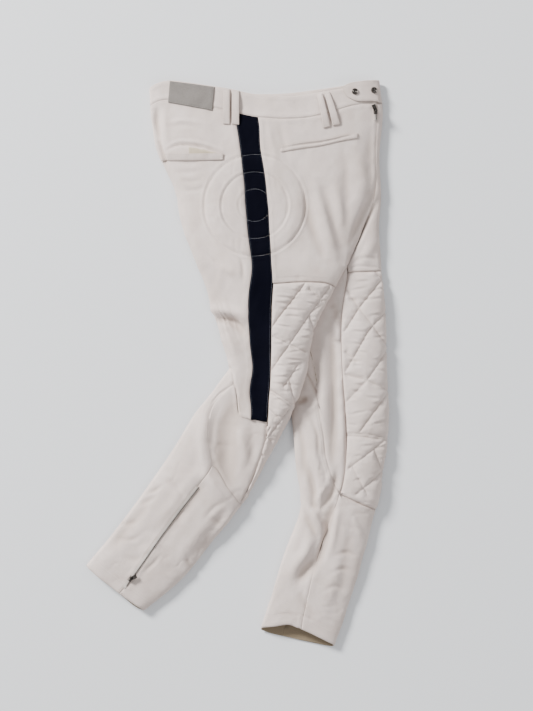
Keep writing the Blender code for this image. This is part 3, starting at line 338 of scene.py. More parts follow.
# %% Puckers beside the rows
PUCKERS = {
    "right": (
        ((276, 297), (300, 300)), ((280, 309), (304, 311)), ((274, 325), (290, 328)),
        ((296, 330), (312, 331)), ((299, 338), (314, 337)), ((286, 353), (306, 350)),
        ((285, 359), (304, 361)), ((286, 365), (303, 363)), ((273, 377), (292, 376)),
        ((272, 383), (302, 385)), ((310, 322), (325, 321)), ((311, 312), (322, 305)),
        ((263, 410), (268, 430)), ((254, 440), (262, 446)), ((250, 452), (258, 457)),
        ((247, 462), (255, 468)), ((246, 474), (252, 478)), ((275, 303), (292, 304)),
        ((290, 291), (303, 292)), ((284, 316), (300, 317)), ((273, 343), (283, 345)),
        ((300, 322), (306, 324)), ((306, 303), (318, 305)), ((276, 365), (284, 366)),
        ((291, 372), (300, 370)), ((274, 398), (284, 401)), ((281, 391), (290, 391)),
    ),
    "left": (
        ((350, 331), (368, 332)), ((352, 290), (366, 288)), ((362, 300), (382, 298)),
        ((350, 343), (364, 345)), ((372, 338), (386, 336)), ((350, 390), (362, 392)),
        ((372, 404), (386, 402)), ((352, 414), (366, 411)), ((371, 424), (386, 421)),
        ((376, 448), (387, 446)), ((352, 481), (362, 478)), ((368, 480), (382, 478)),
        ((350, 318), (360, 322)), ((372, 360), (386, 358)), ((352, 365), (362, 366)),
        ((356, 282), (368, 281)), ((348, 299), (356, 300)), ((368, 316), (380, 314)),
        ((374, 290), (384, 288)), ((356, 351), (366, 353)), ((376, 370), (387, 371)),
        ((352, 384), (364, 385)), ((348, 424), (358, 425)), ((366, 397), (378, 398)),
        ((360, 446), (372, 445)), ((354, 456), (362, 455)), ((380, 458), (388, 460)),
    ),
}
for leg in QUILTS:
    print(f"{leg} knee: {len(QUILTS[leg])} rows, {len(PUCKERS[leg])} puckers")

# %% Pillows, grooves and gathers
QUILT_PUFF, PILLOW_WIDTH = 1.9, 3.6
QUILT_GROOVE, GROOVE_WIDTH = 1.7, 0.9
GATHER_HEIGHT, GATHER_WIDTH = 0.8, 5.5
PUCKER_HEIGHT, PUCKER_WIDTH = 1.2, 1.3
BULGE_SHARE, BULGE_WIDTH, BULGE_SHIFT = 0.7, 1.4, 2.2


def quilting(u, v, lines, puckers, border):
    """Pillows between stitched grooves, with small gathers pulled in by the thread."""
    away = border.copy()
    for line in lines:
        away = np.minimum(away, distance(u, v, line)[0])
    pillow = QUILT_PUFF * (1 - np.exp(-((away / PILLOW_WIDTH) ** 2)))
    groove = -QUILT_GROOVE * np.exp(-((away / GROOVE_WIDTH) ** 2))
    gathers = GATHER_HEIGHT * lattice_noise(u / 6, v / 2.6, 3)
    gathers *= np.exp(-((away / GATHER_WIDTH) ** 2))
    for line in puckers:
        gathers -= PUCKER_HEIGHT * ridge(u, v, line, PUCKER_WIDTH)
        shifted = tuple((a, b - BULGE_SHIFT) for a, b in line)
        gathers += BULGE_SHARE * PUCKER_HEIGHT * ridge(u, v, shifted, BULGE_WIDTH)
    return pillow + groove + gathers * smooth(border / 3)


# %% [markdown]
# ## The padded hip
# A round pad is held under the hip by three stitched rings that run over the back panel, the
# stripe and the front panel. One formula of the distance from the centre does all three
# panels alike, so the rings meet at the seams. Cutting rings into each mesh would leave steps.

# %% Rings and their puckers
RING_CENTRE = (254.7, 206.3)
RING_RADII = (50.6, 33.2, 16.2)
RING_PUCKERS = (
    ((207, 204), (221, 204)), ((207, 212), (220, 212)), ((211, 231), (223, 231)),
    ((235, 238), (235, 254)), ((241, 239), (241, 254)), ((225, 219), (237, 236)),
    ((270, 176), (271, 190)), ((276, 179), (278, 194)), ((234, 162), (232, 180)),
)
DISC_RISE, BAND_RISE, BAND_WIDTH = 1.2, 0.6, 5.0
RING_GROOVE, RING_WIDTH = 1.5, 1.1
RING_LIP, LIP_PLACE, LIP_WIDTH = 0.9, 2.0, 1.3
FAINT_RADIUS, FAINT_SHARE = 20, 0.4
DISC_REACH, DISC_FADE = 1.5, 5
LITTLE_PUCKER, LITTLE_WIDTH = 0.5, 1.2
RING_GATHER, GATHERED_WIDTH = 0.22, 9
print("hip pad:", round(2 * RING_RADII[0] * PICTURE_UNIT), "mm across")


def padded_rings(u, v):
    """A soft disc with stitched rings, each with a raised lip on its outer side."""
    radius = np.hypot(u - RING_CENTRE[0], v - RING_CENTRE[1])
    total = DISC_RISE * smooth((RING_RADII[0] + DISC_REACH - radius) / DISC_FADE)
    for ring in RING_RADII:
        share = 1.0 if ring > FAINT_RADIUS else FAINT_SHARE
        total -= share * RING_GROOVE * np.exp(-(((radius - ring) / RING_WIDTH) ** 2))
        total += share * RING_LIP * np.exp(-(((radius - ring - LIP_PLACE) / LIP_WIDTH) ** 2))
    middle = 0.5 * (RING_RADII[0] + RING_RADII[1])
    total += BAND_RISE * np.exp(-(((radius - middle) / BAND_WIDTH) ** 2))
    for line in RING_PUCKERS:
        total -= LITTLE_PUCKER * ridge(u, v, line, LITTLE_WIDTH)
    turn = np.arctan2(v - RING_CENTRE[1], u - RING_CENTRE[0])
    gathers = lattice_noise(turn * 9 + 40, radius / 9, 4)
    gathers = RING_GATHER * gathers * np.exp(-(((radius - middle) / GATHERED_WIDTH) ** 2))
    return total + gathers


# %% [markdown]
# ## From a packed panel to a fine wall
# A packed panel is a closed wall of loose triangles, coarse but true in shape. Its corners are
# joined and its triangles paired into fours, because smooth subdivision runs cleanly over
# fours. The cut edges are marked as creases, so that the cloth keeps its thickness there.
# Remeshing would be simpler, but it would round the cut edges away.

# %% Joined and paired faces
JOIN_REACH = 0.02
CUT_EDGE = math.radians(62)


def whole(name):
    """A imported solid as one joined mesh, in fours where it can be."""
    bm = bmesh.new()
    bm.from_mesh(nodes[name].data)
    bmesh.ops.remove_doubles(bm, verts=bm.verts, dist=JOIN_REACH * MM)
    bmesh.ops.join_triangles(
        bm, faces=bm.faces, angle_face_threshold=math.radians(45),
        angle_shape_threshold=math.radians(175),
    )
    return bm


# %% Smooth subdivision
def refined(name, bm, levels):
    """The mesh after smooth subdivision, as a new object at the origin."""
    rough = bpy.data.meshes.new(name)
    bm.to_mesh(rough)
    bm.free()
    obj = bpy.data.objects.new(name, rough)
    bpy.context.scene.collection.objects.link(obj)
    modifier = obj.modifiers.new("fine", "SUBSURF")
    modifier.levels = modifier.render_levels = levels
    bpy.context.view_layer.update()
    evaluated = obj.evaluated_get(bpy.context.evaluated_depsgraph_get())
    fine = bpy.data.meshes.new_from_object(evaluated)
    obj.modifiers.clear()
    obj.data = fine
    fine.name = name
    return obj


# %% Finer where it shows
SHOWS_FROM_ABOVE = 0.25
OUTER_SKIN = 0.99


def sharpened(obj):
    """Cuts the mesh finer once more where it shows from above."""
    bm = bmesh.new()
    bm.from_mesh(obj.data)
    skin = bm.verts.layers.float["skin"]
    facing_up = [f for f in bm.faces if f.normal.z > SHOWS_FROM_ABOVE
                 and all(v[skin] > OUTER_SKIN for v in f.verts)]
    above = {e for f in facing_up for e in f.edges}
    bmesh.ops.subdivide_edges(bm, edges=list(above), cuts=1, use_grid_fill=True)
    bm.to_mesh(obj.data)
    bm.free()


# %% [markdown]
# ## Which way is out
# A panel has an outer and an inner skin whose normals point opposite ways, and a fold has to
# move both the same way. So each skin is compared with the centre line of its leg, and every
# corner keeps the direction that leads out of the leg. Solidify could make the inner skin from
# the outer one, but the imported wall's own thickness would then be lost.

# %% The centre lines of the legs
RIGHT_AXIS = ((267, 75), (268, 130), (274, 200), (277, 270), (267, 330), (266, 372), (250, 404),
              (237, 430), (222, 452), (196, 482), (172, 520), (130, 568), (105, 602))
LEFT_AXIS = ((267, 75), (268, 130), (280, 200), (310, 262), (326, 320), (335, 380), (341, 440),
             (340, 490), (334, 520), (322, 560), (308, 600), (296, 640))


def axis_of(x, y, line):
    """The nearest place on a leg's centre line, for each place in the plan."""
    u, v = picture(x, y)
    best = np.full(u.shape, 1e9)
    centre = np.zeros((len(u), 2))
    for a, b in zip(line, line[1:]):
        a, b = np.array(a, float), np.array(b, float)
        t = np.clip(((u - a[0]) * (b - a)[0] + (v - a[1]) * (b - a)[1]) / ((b - a) @ (b - a)), 0, 1)
        place = a + t[:, None] * (b - a)
        away = np.hypot(u - place[:, 0], v - place[:, 1])
        nearer = away < best
        best = np.where(nearer, away, best)
        centre[nearer] = place[nearer]
    return metres(centre[:, 0], centre[:, 1])


# %% Skins and outward directions
LEG_HALF_WIDTH, LEG_HALF_HEIGHT = 0.08, 0.012


def skins(bm):
    """The mesh's faces in groups that no cut edge crosses."""
    left = set(bm.faces)
    groups = []
    while left:
        group, edge = set(), [left.pop()]
        while edge:
            face = edge.pop()
            group.add(face)
            for e in face.edges:
                if e.calc_face_angle(0) > CUT_EDGE:
                    continue
                for other in e.link_faces:
                    if other in left:
                        left.remove(other)
                        edge.append(other)
        groups.append(group)
    return groups


def mark_outward(bm, line, lifted):
    """Gives each corner the direction that leads out of the leg, the same on both skins."""
    crease = bm.edges.layers.float.new("crease_edge")
    outward = bm.verts.layers.float_vector.new("outward")
    skin = bm.verts.layers.float.new("skin")
    for edge in bm.edges:
        edge[crease] = 1.0 if edge.calc_face_angle(0) > CUT_EDGE else 0.0
    for group in sorted(skins(bm), key=lambda g: sum(f.calc_area() for f in g)):
        middles = np.array([f.calc_center_median() for f in group])
        normals = np.array([f.normal for f in group])
        areas = np.array([f.calc_area() for f in group])
        x, y = axis_of(middles[:, 0], middles[:, 1], line)
        z = lifted(middles)
        away = np.stack([(middles[:, 0] - x) / LEG_HALF_WIDTH**2,
                         (middles[:, 1] - y) / LEG_HALF_WIDTH**2,
                         (middles[:, 2] - z) / LEG_HALF_HEIGHT**2], axis=1)
        side = 1.0 if (areas * np.sign((away * normals).sum(1))).sum() > 0 else -1.0
        total = {}
        for face in group:
            for vert in face.verts:
                total[vert] = total.get(vert, Vector()) + face.normal * face.calc_area()
        for vert, normal in total.items():
            vert[outward] = normal.normalized() * side
            vert[skin] = side


# %% How high a leg's middle lies
LOW_MIDDLE, RIGHT_MIDDLE, CROSSED_RISE, LOWER_SHARE = 0.0115, 0.012, 0.020, 0.2
CROSSED_TOP, TOP_FADE = 225, 50
CROSSED_FOOT, FOOT_FADE = 455, 60
CROSSED_SIDE, SIDE_FADE = 255, 25
SHIN_TOP, SHIN_FADE = 420, 150


def mid_height(points):
    """The height of a tube's middle: the right thigh lies on the left one."""
    u, v = picture(points[:, 0], points[:, 1])
    on_left = smooth((v - CROSSED_TOP) / TOP_FADE)
    on_left *= smooth((CROSSED_FOOT - v) / FOOT_FADE)
    on_left *= smooth((u - CROSSED_SIDE) / SIDE_FADE)
    lower = LOWER_SHARE * smooth((v - SHIN_TOP) / SHIN_FADE)
    return (RIGHT_MIDDLE + CROSSED_RISE * on_left) * (1 - lower)


def low_height(points):
    """The left leg lies flat on the floor."""
    return np.full(len(points), LOW_MIDDLE)


# %% One panel's fine wall
def fine_wall(node, leg, levels=3):
    bm = whole(node)
    line = RIGHT_AXIS if leg == "right" else LEFT_AXIS
    mark_outward(bm, line, mid_height if leg == "right" else low_height)
    return refined(node + "_cloth", bm, levels)


# %% [markdown]
# ## Seams drawn together
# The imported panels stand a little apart, and a sewn seam has no gap. Each cut edge is moved
# just over half way to the nearest edge of the panel it is sewn to, and where several seams cross, all
# edges go to one place. Joining the meshes would close the seams too, but each panel has to
# stay a piece of its own.

# %% Reading and storing values of a mesh
def read(mesh, name, size):
    values = np.zeros(len(mesh.vertices) * size)
    key = {1: "value", 3: "vector"}[size]
    mesh.attributes[name].data.foreach_get(key, values)
    return values.reshape(-1, size) if size > 1 else values


def places_of(mesh):
    values = np.zeros(len(mesh.vertices) * 3)
    mesh.vertices.foreach_get("co", values)
    return values.reshape(-1, 3)


def store(mesh, name, values):
    layer = mesh.attributes.get(name) or mesh.attributes.new(name, "FLOAT", "POINT")
    layer.data.foreach_set("value", values.astype(np.float32))


# %% Cut edges and the nearest other edge
SEAM_REACH, MEET_SHARE = 8.0, 0.55
CROSSINGS = ((346.5, 266.4), (212.5, 465.3), (339.5, 494.0))
CROSSING_REACH, CROSSING_FADE = 10, 4


def cut_edge(obj):
    """Every corner on a cut edge of the wall."""
    bm = bmesh.new()
    bm.from_mesh(obj.data)
    points = [v.co.copy() for v in bm.verts
              if any(e.calc_face_angle(0) > CUT_EDGE for e in v.link_edges)]
    bm.free()
    return points


def tree_of(points):
    tree = KDTree(len(points))
    for index, point in enumerate(points):
        tree.insert(point, index)
    tree.balance()
    return tree


def closing(name, rims):
    """How far each corner on a cut edge moves to meet the panel sewn to it."""
    tree = tree_of([point for other, points in rims.items() if other != name
                    for point in points])
    moves = []
    for point in rims[name]:
        nearest, _, gap = tree.find(point)
        move = (nearest - point) * float(MEET_SHARE * smooth((SEAM_REACH - gap / MM) / 2))
        for crossing in CROSSINGS:
            to = Vector((*metres(*crossing), point.z)) - point
            share = float(smooth((CROSSING_REACH - to.length / MM) / CROSSING_FADE))
            move = move.lerp(to, share)
        moves.append(move)
    return np.array(moves)


# %% The welt beside a seam
WELT_HEIGHT, WELT_PLACE, WELT_WIDTH = 0.45, 5.5, 3.4
SEAM_GATHER, GATHER_REACH = 0.30, 9
THREAD_PULL, PULL_WIDTH = 0.30, 1.6


def seam_relief(away, u, v):
    """The seam allowance makes a low welt beside each seam, drawn in by its thread."""
    gathers = SEAM_GATHER * lattice_noise(u / 3.5, v / 3.5, 5)
    welt = WELT_HEIGHT * np.exp(-(((away - WELT_PLACE) / WELT_WIDTH) ** 2))
    pulled = THREAD_PULL * np.exp(-((away / PULL_WIDTH) ** 2))
    return welt + gathers * np.exp(-((away / GATHER_REACH) ** 2)) - pulled


# %% [markdown]
# ## The relief of one panel
# All heights add up: unevenness, folds, quilting or rings, and the welt. The sum moves each
# corner outwards, and fades on the side that lies down, so nothing is pushed through the
# floor. A Displace modifier could do it with a vertex group, but would follow the normals,
# which part the two skins. The heights are kept as attributes, and later paint shade into
# the cloth's colour deep in folds.

# %% Heights added up
CLOSING_FADE = 5
LYING_HEIGHT, LYING_FADE = 2.5, 3.5
# The reach of the shade painted beside a seam, and the range of heights over which shade is painted
# into folds, in millimetres.
SEAM_SHADE = 5.0
RELIEF_RANGE = 8
WEDGE_SINK, WEDGE_CORNER, WEDGE_SLOPE = 2.4, (190, 149.0), 0.22
SHARP_EDGE = math.radians(55)


def cloth(obj, node, leg, relief, seam=1.0, rims=None, sunk=0.0):
    """Makes the finished wall of one panel."""
    mesh = obj.data
    rim = rims[node] if rims else cut_edge(obj)
    tree = tree_of(rim)
    points, out = places_of(mesh), read(mesh, "outward", 3)
    out /= np.maximum(np.linalg.norm(out, axis=1, keepdims=True), 1e-6)
    found = [tree.find(p) for p in points]
    away = np.array([distance_to for _, _, distance_to in found]) / MM
    if rims:
        moves = closing(node, rims)[[index for _, index, _ in found]]
        points += moves * np.exp(-((away / CLOSING_FADE) ** 2))[:, None]
    u, v = picture(points[:, 0], points[:, 1])
    upper = smooth((out[:, 2] + 0.5) / 0.5)
    upper *= smooth((points[:, 2] / MM - LYING_HEIGHT) / LYING_FADE)
    shape = ripples(u, v) + folds(u, v, leg)
    if "rings" in relief:
        shape += padded_rings(u, v)
    if "wedge" in relief:
        mouth = WEDGE_CORNER[1] + (u - WEDGE_CORNER[0]) * WEDGE_SLOPE - v
        shape -= WEDGE_SINK * smooth(mouth / 2)
    if "quilt" in relief:
        shape += quilting(u, v, QUILTS[leg], PUCKERS[leg], away / PICTURE_UNIT)
    height = shape + seam * seam_relief(away, u, v) - sunk
    points += out * (height * upper * MM)[:, None]
    points[:, 2] = np.maximum(points[:, 2], 0.0)
    mesh.vertices.foreach_set("co", points.ravel())
    mesh.update()
    # Mask for the shade painted into the colour beside a seam.
    store(mesh, "seam", np.exp(-((away / SEAM_SHADE) ** 2)))
    lined = 0.0 if node.startswith("band") else 1.0
    store(mesh, "inner", np.where(read(mesh, "skin", 1) < 0, lined, 0.0))
    # Mask for the shade painted into the colour deep in folds, from the relief's height.
    store(mesh, "relief", np.clip(0.5 + height / RELIEF_RANGE, 0, 1))
    mesh.shade_smooth()
    mesh.set_sharp_from_angle(angle=SHARP_EDGE)
    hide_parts(node)
    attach(obj, "garment")


# %% The sixteen panels
PANELS = {
    "band_right": ("right", ()),
    "back_right": ("right", ("rings",)),
    "stripe_right": ("right", ("rings",)),
    "front_right": ("right", ("rings",)),
    "knee_right": ("right", ("quilt",)),
    "knee_side_right": ("right", ()),
    "calf_right": ("right", ()),
    "shin_right": ("right", ()),
    "band_left": ("left", ()),
    "back_left": ("left", ()),
    "front_left": ("left", ()),
    "knee_left": ("left", ("quilt",)),
    "calf_left": ("left", ()),
    "shin_left": ("left", ()),
    "stripe_left": ("left", ()),
    "knee_side_left": ("left", ()),
}
LEVELS = {"back_left": 2, "band_left": 2, "stripe_left": 2}
walls = {node: fine_wall(node, leg, LEVELS.get(node, 3)) for node, (leg, _) in PANELS.items()}
for node in ("knee_right", "knee_left"):
    sharpened(walls[node])
rims = {node: cut_edge(obj) for node, obj in walls.items()}
for node, (leg, relief) in PANELS.items():
    cloth(walls[node], node, leg, relief, rims=rims)
    print(node, len(walls[node].data.polygons), "faces")

# %% [markdown]
# ## Smaller cloth pieces
# The tab, the label, the belt loops, the welts and the tapes are sewn on top of a panel. They
# are made as the panels are, so they bend with them, and each is sunk a little, so that it
# lies on the cloth without a gap. The lining in the back pocket's mouth dips to a wedge.

# %% Each on its panel
TRIMS = ("waist_tab", "label_patch", "belt_loop_side_back", "belt_loop_side_front",
         "belt_loop_front_back", "belt_loop_front_front", "back_pocket_welt",
         "back_pocket_lining", "front_pocket_welt", "ankle_zip", "fly_zip")
SUNK = {"back_pocket_welt": 0.8, "front_pocket_welt": 0.9, "ankle_zip": 0.7, "fly_zip": 0.5,
        "back_pocket_lining": 0.0, "waist_tab": 0.0}
PLAIN_SUNK = 0.3
trims = {node: fine_wall(node, "right") for node in TRIMS}
for node, obj in trims.items():
    wedge = ("wedge",) if node == "back_pocket_lining" else ()
    cloth(obj, node, "right", wedge, seam=0.5, sunk=SUNK.get(node, PLAIN_SUNK))
pieces = {**walls, **trims}
print("cloth pieces:", len(pieces))

# %% [markdown]
# ## Nodes of a material
# Every finish here is a small graph of nodes on a Principled shader. Three helpers keep the
# graphs short: one adds a node, one mixes two colours, and one maps a range to another.

# %% Helpers for nodes
def new_material(name):
    material = bpy.data.materials.new(name)
    material.use_nodes = True
    tree = material.node_tree
    return material, tree, tree.nodes["Principled BSDF"]


def add_node(tree, kind, inputs=None, **settings):
    node = tree.nodes.new(kind)
    for key, value in settings.items():
        setattr(node, key, value)
    for key, value in (inputs or {}).items():
        if isinstance(value, bpy.types.NodeSocket):
            tree.links.new(value, node.inputs[key])
        else:
            node.inputs[key].default_value = value
    return node


def mixed(tree, share, first, second):
    """A colour that turns from the first to the second with the share."""
    mix = tree.nodes.new("ShaderNodeMix")
    mix.data_type = "RGBA"
    for key, value in ((0, share), (6, first), (7, second)):
        if isinstance(value, bpy.types.NodeSocket):
            tree.links.new(value, mix.inputs[key])
        else:
            mix.inputs[key].default_value = value
    return mix.outputs[2]


def ranged(tree, value, low, high, out_low=0.0, out_high=1.0):
    return add_node(tree, "ShaderNodeMapRange", {
        "Value": value, "From Min": low, "From Max": high,
        "To Min": out_low, "To Max": out_high,
    }).outputs["Result"]


# %% [markdown]
# ## Woven cloth
# Twill is woven with slanting ribs, brushed to a short nap, and soiled a little by wear. A
# photo of cloth could be mapped on, but a wave along the ribs, a finer one across them and two
# noises work at any size and have no seams. A wave texture repeats each 0.314 at scale 1.
# Shade is painted into the cloth's colour beside a seam and deep in a fold, and the inside
# of the legs is brown; the stored attributes steer both.

# %% Ribs, nap, stains and painted shade
INSIDE = (0.25, 0.19, 0.125)
WAVE_LENGTH = 0.314


def woven(name, colour, shade, weave, turn=45.0, depth=0.6, rough=0.85, sheen=0.25, fleck=0.5):
    """Cloth: diagonal or straight ribs of thread, a brushed nap, slight soiling in blotches, and
    painted shade beside seams and in folds.
    """
    material, tree, shader = new_material(name)
    place = add_node(tree, "ShaderNodeTexCoord").outputs["Object"]
    turned = add_node(tree, "ShaderNodeMapping", {
        "Vector": place, "Rotation": (0.0, 0.0, math.radians(turn)),
    }).outputs["Vector"]
    rib = add_node(tree, "ShaderNodeTexWave", {
        "Vector": turned, "Scale": WAVE_LENGTH / weave, "Distortion": 1.2, "Detail": 2.0,
        "Detail Scale": 1.5,
    }, wave_type="BANDS", bands_direction="X").outputs["Fac"]
    across = add_node(tree, "ShaderNodeTexWave", {
        "Vector": turned, "Scale": WAVE_LENGTH / weave / 1.6, "Distortion": 2.0,
        "Detail": 1.0,
    }, wave_type="BANDS", bands_direction="Y").outputs["Fac"]
    nap = add_node(tree, "ShaderNodeTexNoise", {
        "Vector": place, "Scale": 900.0, "Detail": 4.0, "Roughness": 0.7,
    }).outputs["Fac"]
    blotch = add_node(tree, "ShaderNodeTexNoise", {
        "Vector": place, "Scale": 22.0, "Detail": 5.0, "Roughness": 0.6,
    }).outputs["Fac"]
    seam = add_node(tree, "ShaderNodeAttribute", attribute_name="seam").outputs["Fac"]
    relief = add_node(tree, "ShaderNodeAttribute", attribute_name="relief").outputs["Fac"]
    base = mixed(tree, ranged(tree, blotch, 0.35, 0.75, 0.0, 0.7), (*colour, 1), (*shade, 1))
    base = mixed(tree, ranged(tree, nap, 0.3, 0.75, 0.0, fleck), base, (*shade, 1))
    # Painted shade: the colour turns towards the shade colour beside a seam and in the troughs of
    # folds.
    base = mixed(tree, ranged(tree, seam, 0.3, 1.0, 0.0, 0.25), base, (*shade, 1))
    base = mixed(tree, ranged(tree, relief, 0.42, 0.05, 0.0, 1.0), base, (*shade, 1))
    inner = add_node(tree, "ShaderNodeAttribute", attribute_name="inner").outputs["Fac"]
    base = mixed(tree, ranged(tree, inner, 0.4, 0.6), base, (*INSIDE, 1))
    tree.links.new(base, shader.inputs["Base Color"])
    threads = add_node(tree, "ShaderNodeMath", {0: rib, 1: across}, operation="MULTIPLY")
    height = add_node(tree, "ShaderNodeMath", {0: threads.outputs[0], 1: nap}, operation="ADD")
    bump = add_node(tree, "ShaderNodeBump", {
        "Strength": depth, "Distance": 0.0004, "Height": height.outputs[0],
    })
    tree.links.new(bump.outputs["Normal"], shader.inputs["Normal"])
    tree.links.new(ranged(tree, nap, 0.2, 0.8, rough - 0.06, min(rough + 0.08, 1.0)),
                   shader.inputs["Roughness"])
    shader.inputs["Sheen Weight"].default_value = sheen
    shader.inputs["Sheen Roughness"].default_value = 0.5
    shader.inputs["Specular IOR Level"].default_value = 0.25
    return material


# %% The cloths and threads
twill = woven("twill", (0.77, 0.662, 0.614), (0.585, 0.48, 0.42), 0.8 * MM, sheen=0.1)
ribbon = woven("navy_ribbon", (0.0008, 0.0009, 0.0034), (0.0016, 0.0018, 0.006), 0.7 * MM,
               turn=0.0, depth=0.3, sheen=0.0, fleck=0.6)
ribbon.node_tree.nodes["Principled BSDF"].inputs["Specular IOR Level"].default_value = 0.05
felt = woven("grey_felt", (0.268, 0.241, 0.219), (0.14, 0.126, 0.115), 1.1 * MM,
             depth=0.8, sheen=0.05, fleck=1.0)
lining = woven("lining", (0.62, 0.53, 0.40), (0.42, 0.34, 0.24), 0.7 * MM, turn=0.0)
tape = woven("zip_tape", (0.66, 0.60, 0.56), (0.52, 0.46, 0.41), 0.6 * MM, turn=0.0)
# The thread is greyer than the twill, and is also painted darker to stand in for the shade along the
# stitch lines.
thread = woven("thread", (0.58, 0.52, 0.48), (0.46, 0.41, 0.37), 0.4 * MM, sheen=0.05)
pale_thread = woven("pale_thread", (0.34, 0.35, 0.38), (0.24, 0.25, 0.28), 0.4 * MM)
for material in (twill, ribbon, felt, lining, tape, thread, pale_thread):
    print(material.name, "has", len(material.node_tree.nodes), "nodes")

# %% [markdown]
# ## Plated metal
# Snaps, sliders and teeth are plated dark and rubbed brighter where they are touched. A plain
# grey would look like plastic, so a coarse noise mixes the worn colour in, and a finer one
# varies the roughness and scratches the surface.

# %% Dark plating, rubbed bright
def metal(name, colour, worn, rough=0.34):
    """Plated metal, rubbed brighter in patches."""
    material, tree, shader = new_material(name)
    place = add_node(tree, "ShaderNodeTexCoord").outputs["Object"]
    patch = add_node(tree, "ShaderNodeTexNoise", {
        "Vector": place, "Scale": 420.0, "Detail": 5.0, "Roughness": 0.65,
    }).outputs["Fac"]
    scratch = add_node(tree, "ShaderNodeTexNoise", {
        "Vector": place, "Scale": 2600.0, "Detail": 3.0,
    }).outputs["Fac"]
    base = mixed(tree, ranged(tree, patch, 0.45, 0.7), (*colour, 1), (*worn, 1))
    tree.links.new(base, shader.inputs["Base Color"])
    tree.links.new(ranged(tree, scratch, 0.3, 0.7, rough - 0.08, rough + 0.12),
                   shader.inputs["Roughness"])
    bump = add_node(tree, "ShaderNodeBump", {
        "Strength": 0.15, "Distance": 0.0001, "Height": scratch,
    })
    tree.links.new(bump.outputs["Normal"], shader.inputs["Normal"])
    shader.inputs["Metallic"].default_value = 0.9
    return material


gunmetal = metal("gunmetal", (0.055, 0.048, 0.042), (0.20, 0.18, 0.165))
teeth_metal = metal("teeth_metal", (0.07, 0.065, 0.06), (0.20, 0.19, 0.18), rough=0.42)
for material in (gunmetal, teeth_metal):
    print(material.name, "has", len(material.node_tree.nodes), "nodes")

# %% Which piece wears which cloth
WORN = {
    "stripe_right": (ribbon, "navy_stripe"),
    "stripe_left": (ribbon, "navy_stripe"),
    "label_patch": (felt, "label_patch"),
    "back_pocket_lining": (lining, "pocket_lining"),
    "ankle_zip": (tape, "zip_teeth"),
    "fly_zip": (tape, "zip_teeth"),
}
for node, obj in pieces.items():
    material, slot = WORN.get(node, (twill, "cotton_twill"))
    obj.data.materials.clear()
    obj.data.materials.append(material)
    print(node, "wears", material.name)

# %% [markdown]
# ## Rows of stitches beside the seams
# Topstitching runs beside most seams, in one row or two. A textured line would blur near the
# camera, so each stitch is a small capsule of thread. A row starts and ends at the edge
# corners nearest two places, follows the edge between them, and lies a few millimetres in.

# %% Where the rows run
ROW = ("piece", "start", "end", "insets")
SEAM_ROWS = (
    ("band_right", (159, 83), (384, 82), (2.2,)),
    ("band_right", (160, 104), (383, 104), (2.0,)),
    ("back_right", (161, 108), (233, 117), (2.2,)),
    ("front_right", (262, 121), (376, 106), (2.2,)),
    ("back_right", (238, 117), (251, 412), (2.2, 7.0)),
    ("front_right", (262, 122), (272, 278), (2.2, 7.0)),
    ("stripe_right", (240, 117), (252, 416), (1.8,)),
    ("stripe_right", (260, 120), (266, 418), (1.8,)),
    ("front_right", (274, 282), (332, 286), (2.0, 5.5)),
    ("knee_right", (274, 286), (330, 290), (2.2,)),
    ("knee_right", (272, 290), (268, 418), (2.2,)),
    ("knee_side_right", (238, 417), (265, 422), (2.2, 5.5)),
    ("knee_side_right", (226, 398), (213, 452), (2.2,)),
    ("shin_right", (217, 472), (241, 506), (2.2, 5.5)),
    ("shin_right", (202, 494), (122, 596), (5.0,)),
    ("calf_right", (198, 484), (117, 590), (5.0,)),
    ("shin_right", (123, 600), (142, 612), (18.0, 22.0)),
    ("calf_right", (88, 568), (118, 592), (18.0, 22.0)),
    ("front_left", (346, 268), (381, 268), (2.0, 5.5)),
    ("knee_left", (346, 273), (381, 273), (2.2,)),
    ("knee_left", (343, 280), (341, 490), (2.2,)),
    ("knee_side_left", (321, 390), (338, 490), (2.2,)),
    ("calf_left", (318, 402), (338, 492), (2.2, 6.0)),
    ("calf_left", (336, 500), (307, 622), (2.2, 6.0)),
    ("shin_left", (343, 500), (373, 510), (2.2, 5.5)),
    ("shin_left", (340, 500), (306, 624), (2.2,)),
    ("shin_left", (307, 632), (332, 644), (18.0, 22.0)),
    ("calf_left", (264, 628), (300, 626), (18.0, 22.0)),
    ("waist_tab", (346, 83), (347, 97), (2.0,)),
    ("waist_tab", (348, 98), (378, 101), (2.0,)),
    ("waist_tab", (346, 83), (378, 79), (2.0,)),
    ("label_patch", (169, 81), (168, 101), (2.0,)),
    ("label_patch", (215, 87), (213, 110), (2.0,)),
    ("label_patch", (170, 80), (215, 87), (2.0,)),
    ("label_patch", (168, 103), (212, 111), (2.0,)),
    ("belt_loop_side_back", (223, 89), (223, 124), (1.8,)),
    ("belt_loop_side_back", (230, 90), (230, 124), (1.8,)),
    ("belt_loop_side_front", (232, 91), (232, 125), (1.8,)),
    ("belt_loop_side_front", (239, 92), (239, 125), (1.8,)),
    ("belt_loop_front_back", (317, 96), (323, 128), (1.8,)),
    ("belt_loop_front_back", (322, 94), (330, 126), (1.8,)),
    ("belt_loop_front_front", (325, 93), (332, 126), (1.8,)),
    ("belt_loop_front_front", (329, 92), (340, 124), (1.8,)),
    ("back_pocket_welt", (164, 161), (221, 160), (1.8,)),
    ("back_pocket_welt", (164, 155), (221, 154), (1.6,)),
    ("front_pocket_welt", (281, 148), (356, 134), (1.6,)),
    ("front_pocket_welt", (281, 152), (356, 138), (1.6,)),
)
print("rows of stitches beside seams:", sum(len(row[-1]) for row in SEAM_ROWS))

# %% Following a cut edge
EDGE_TURN = math.radians(45)
HIGHER = 0.02 * MM
PROBE_HEIGHT, PROBE_REACH = 0.006, 0.02


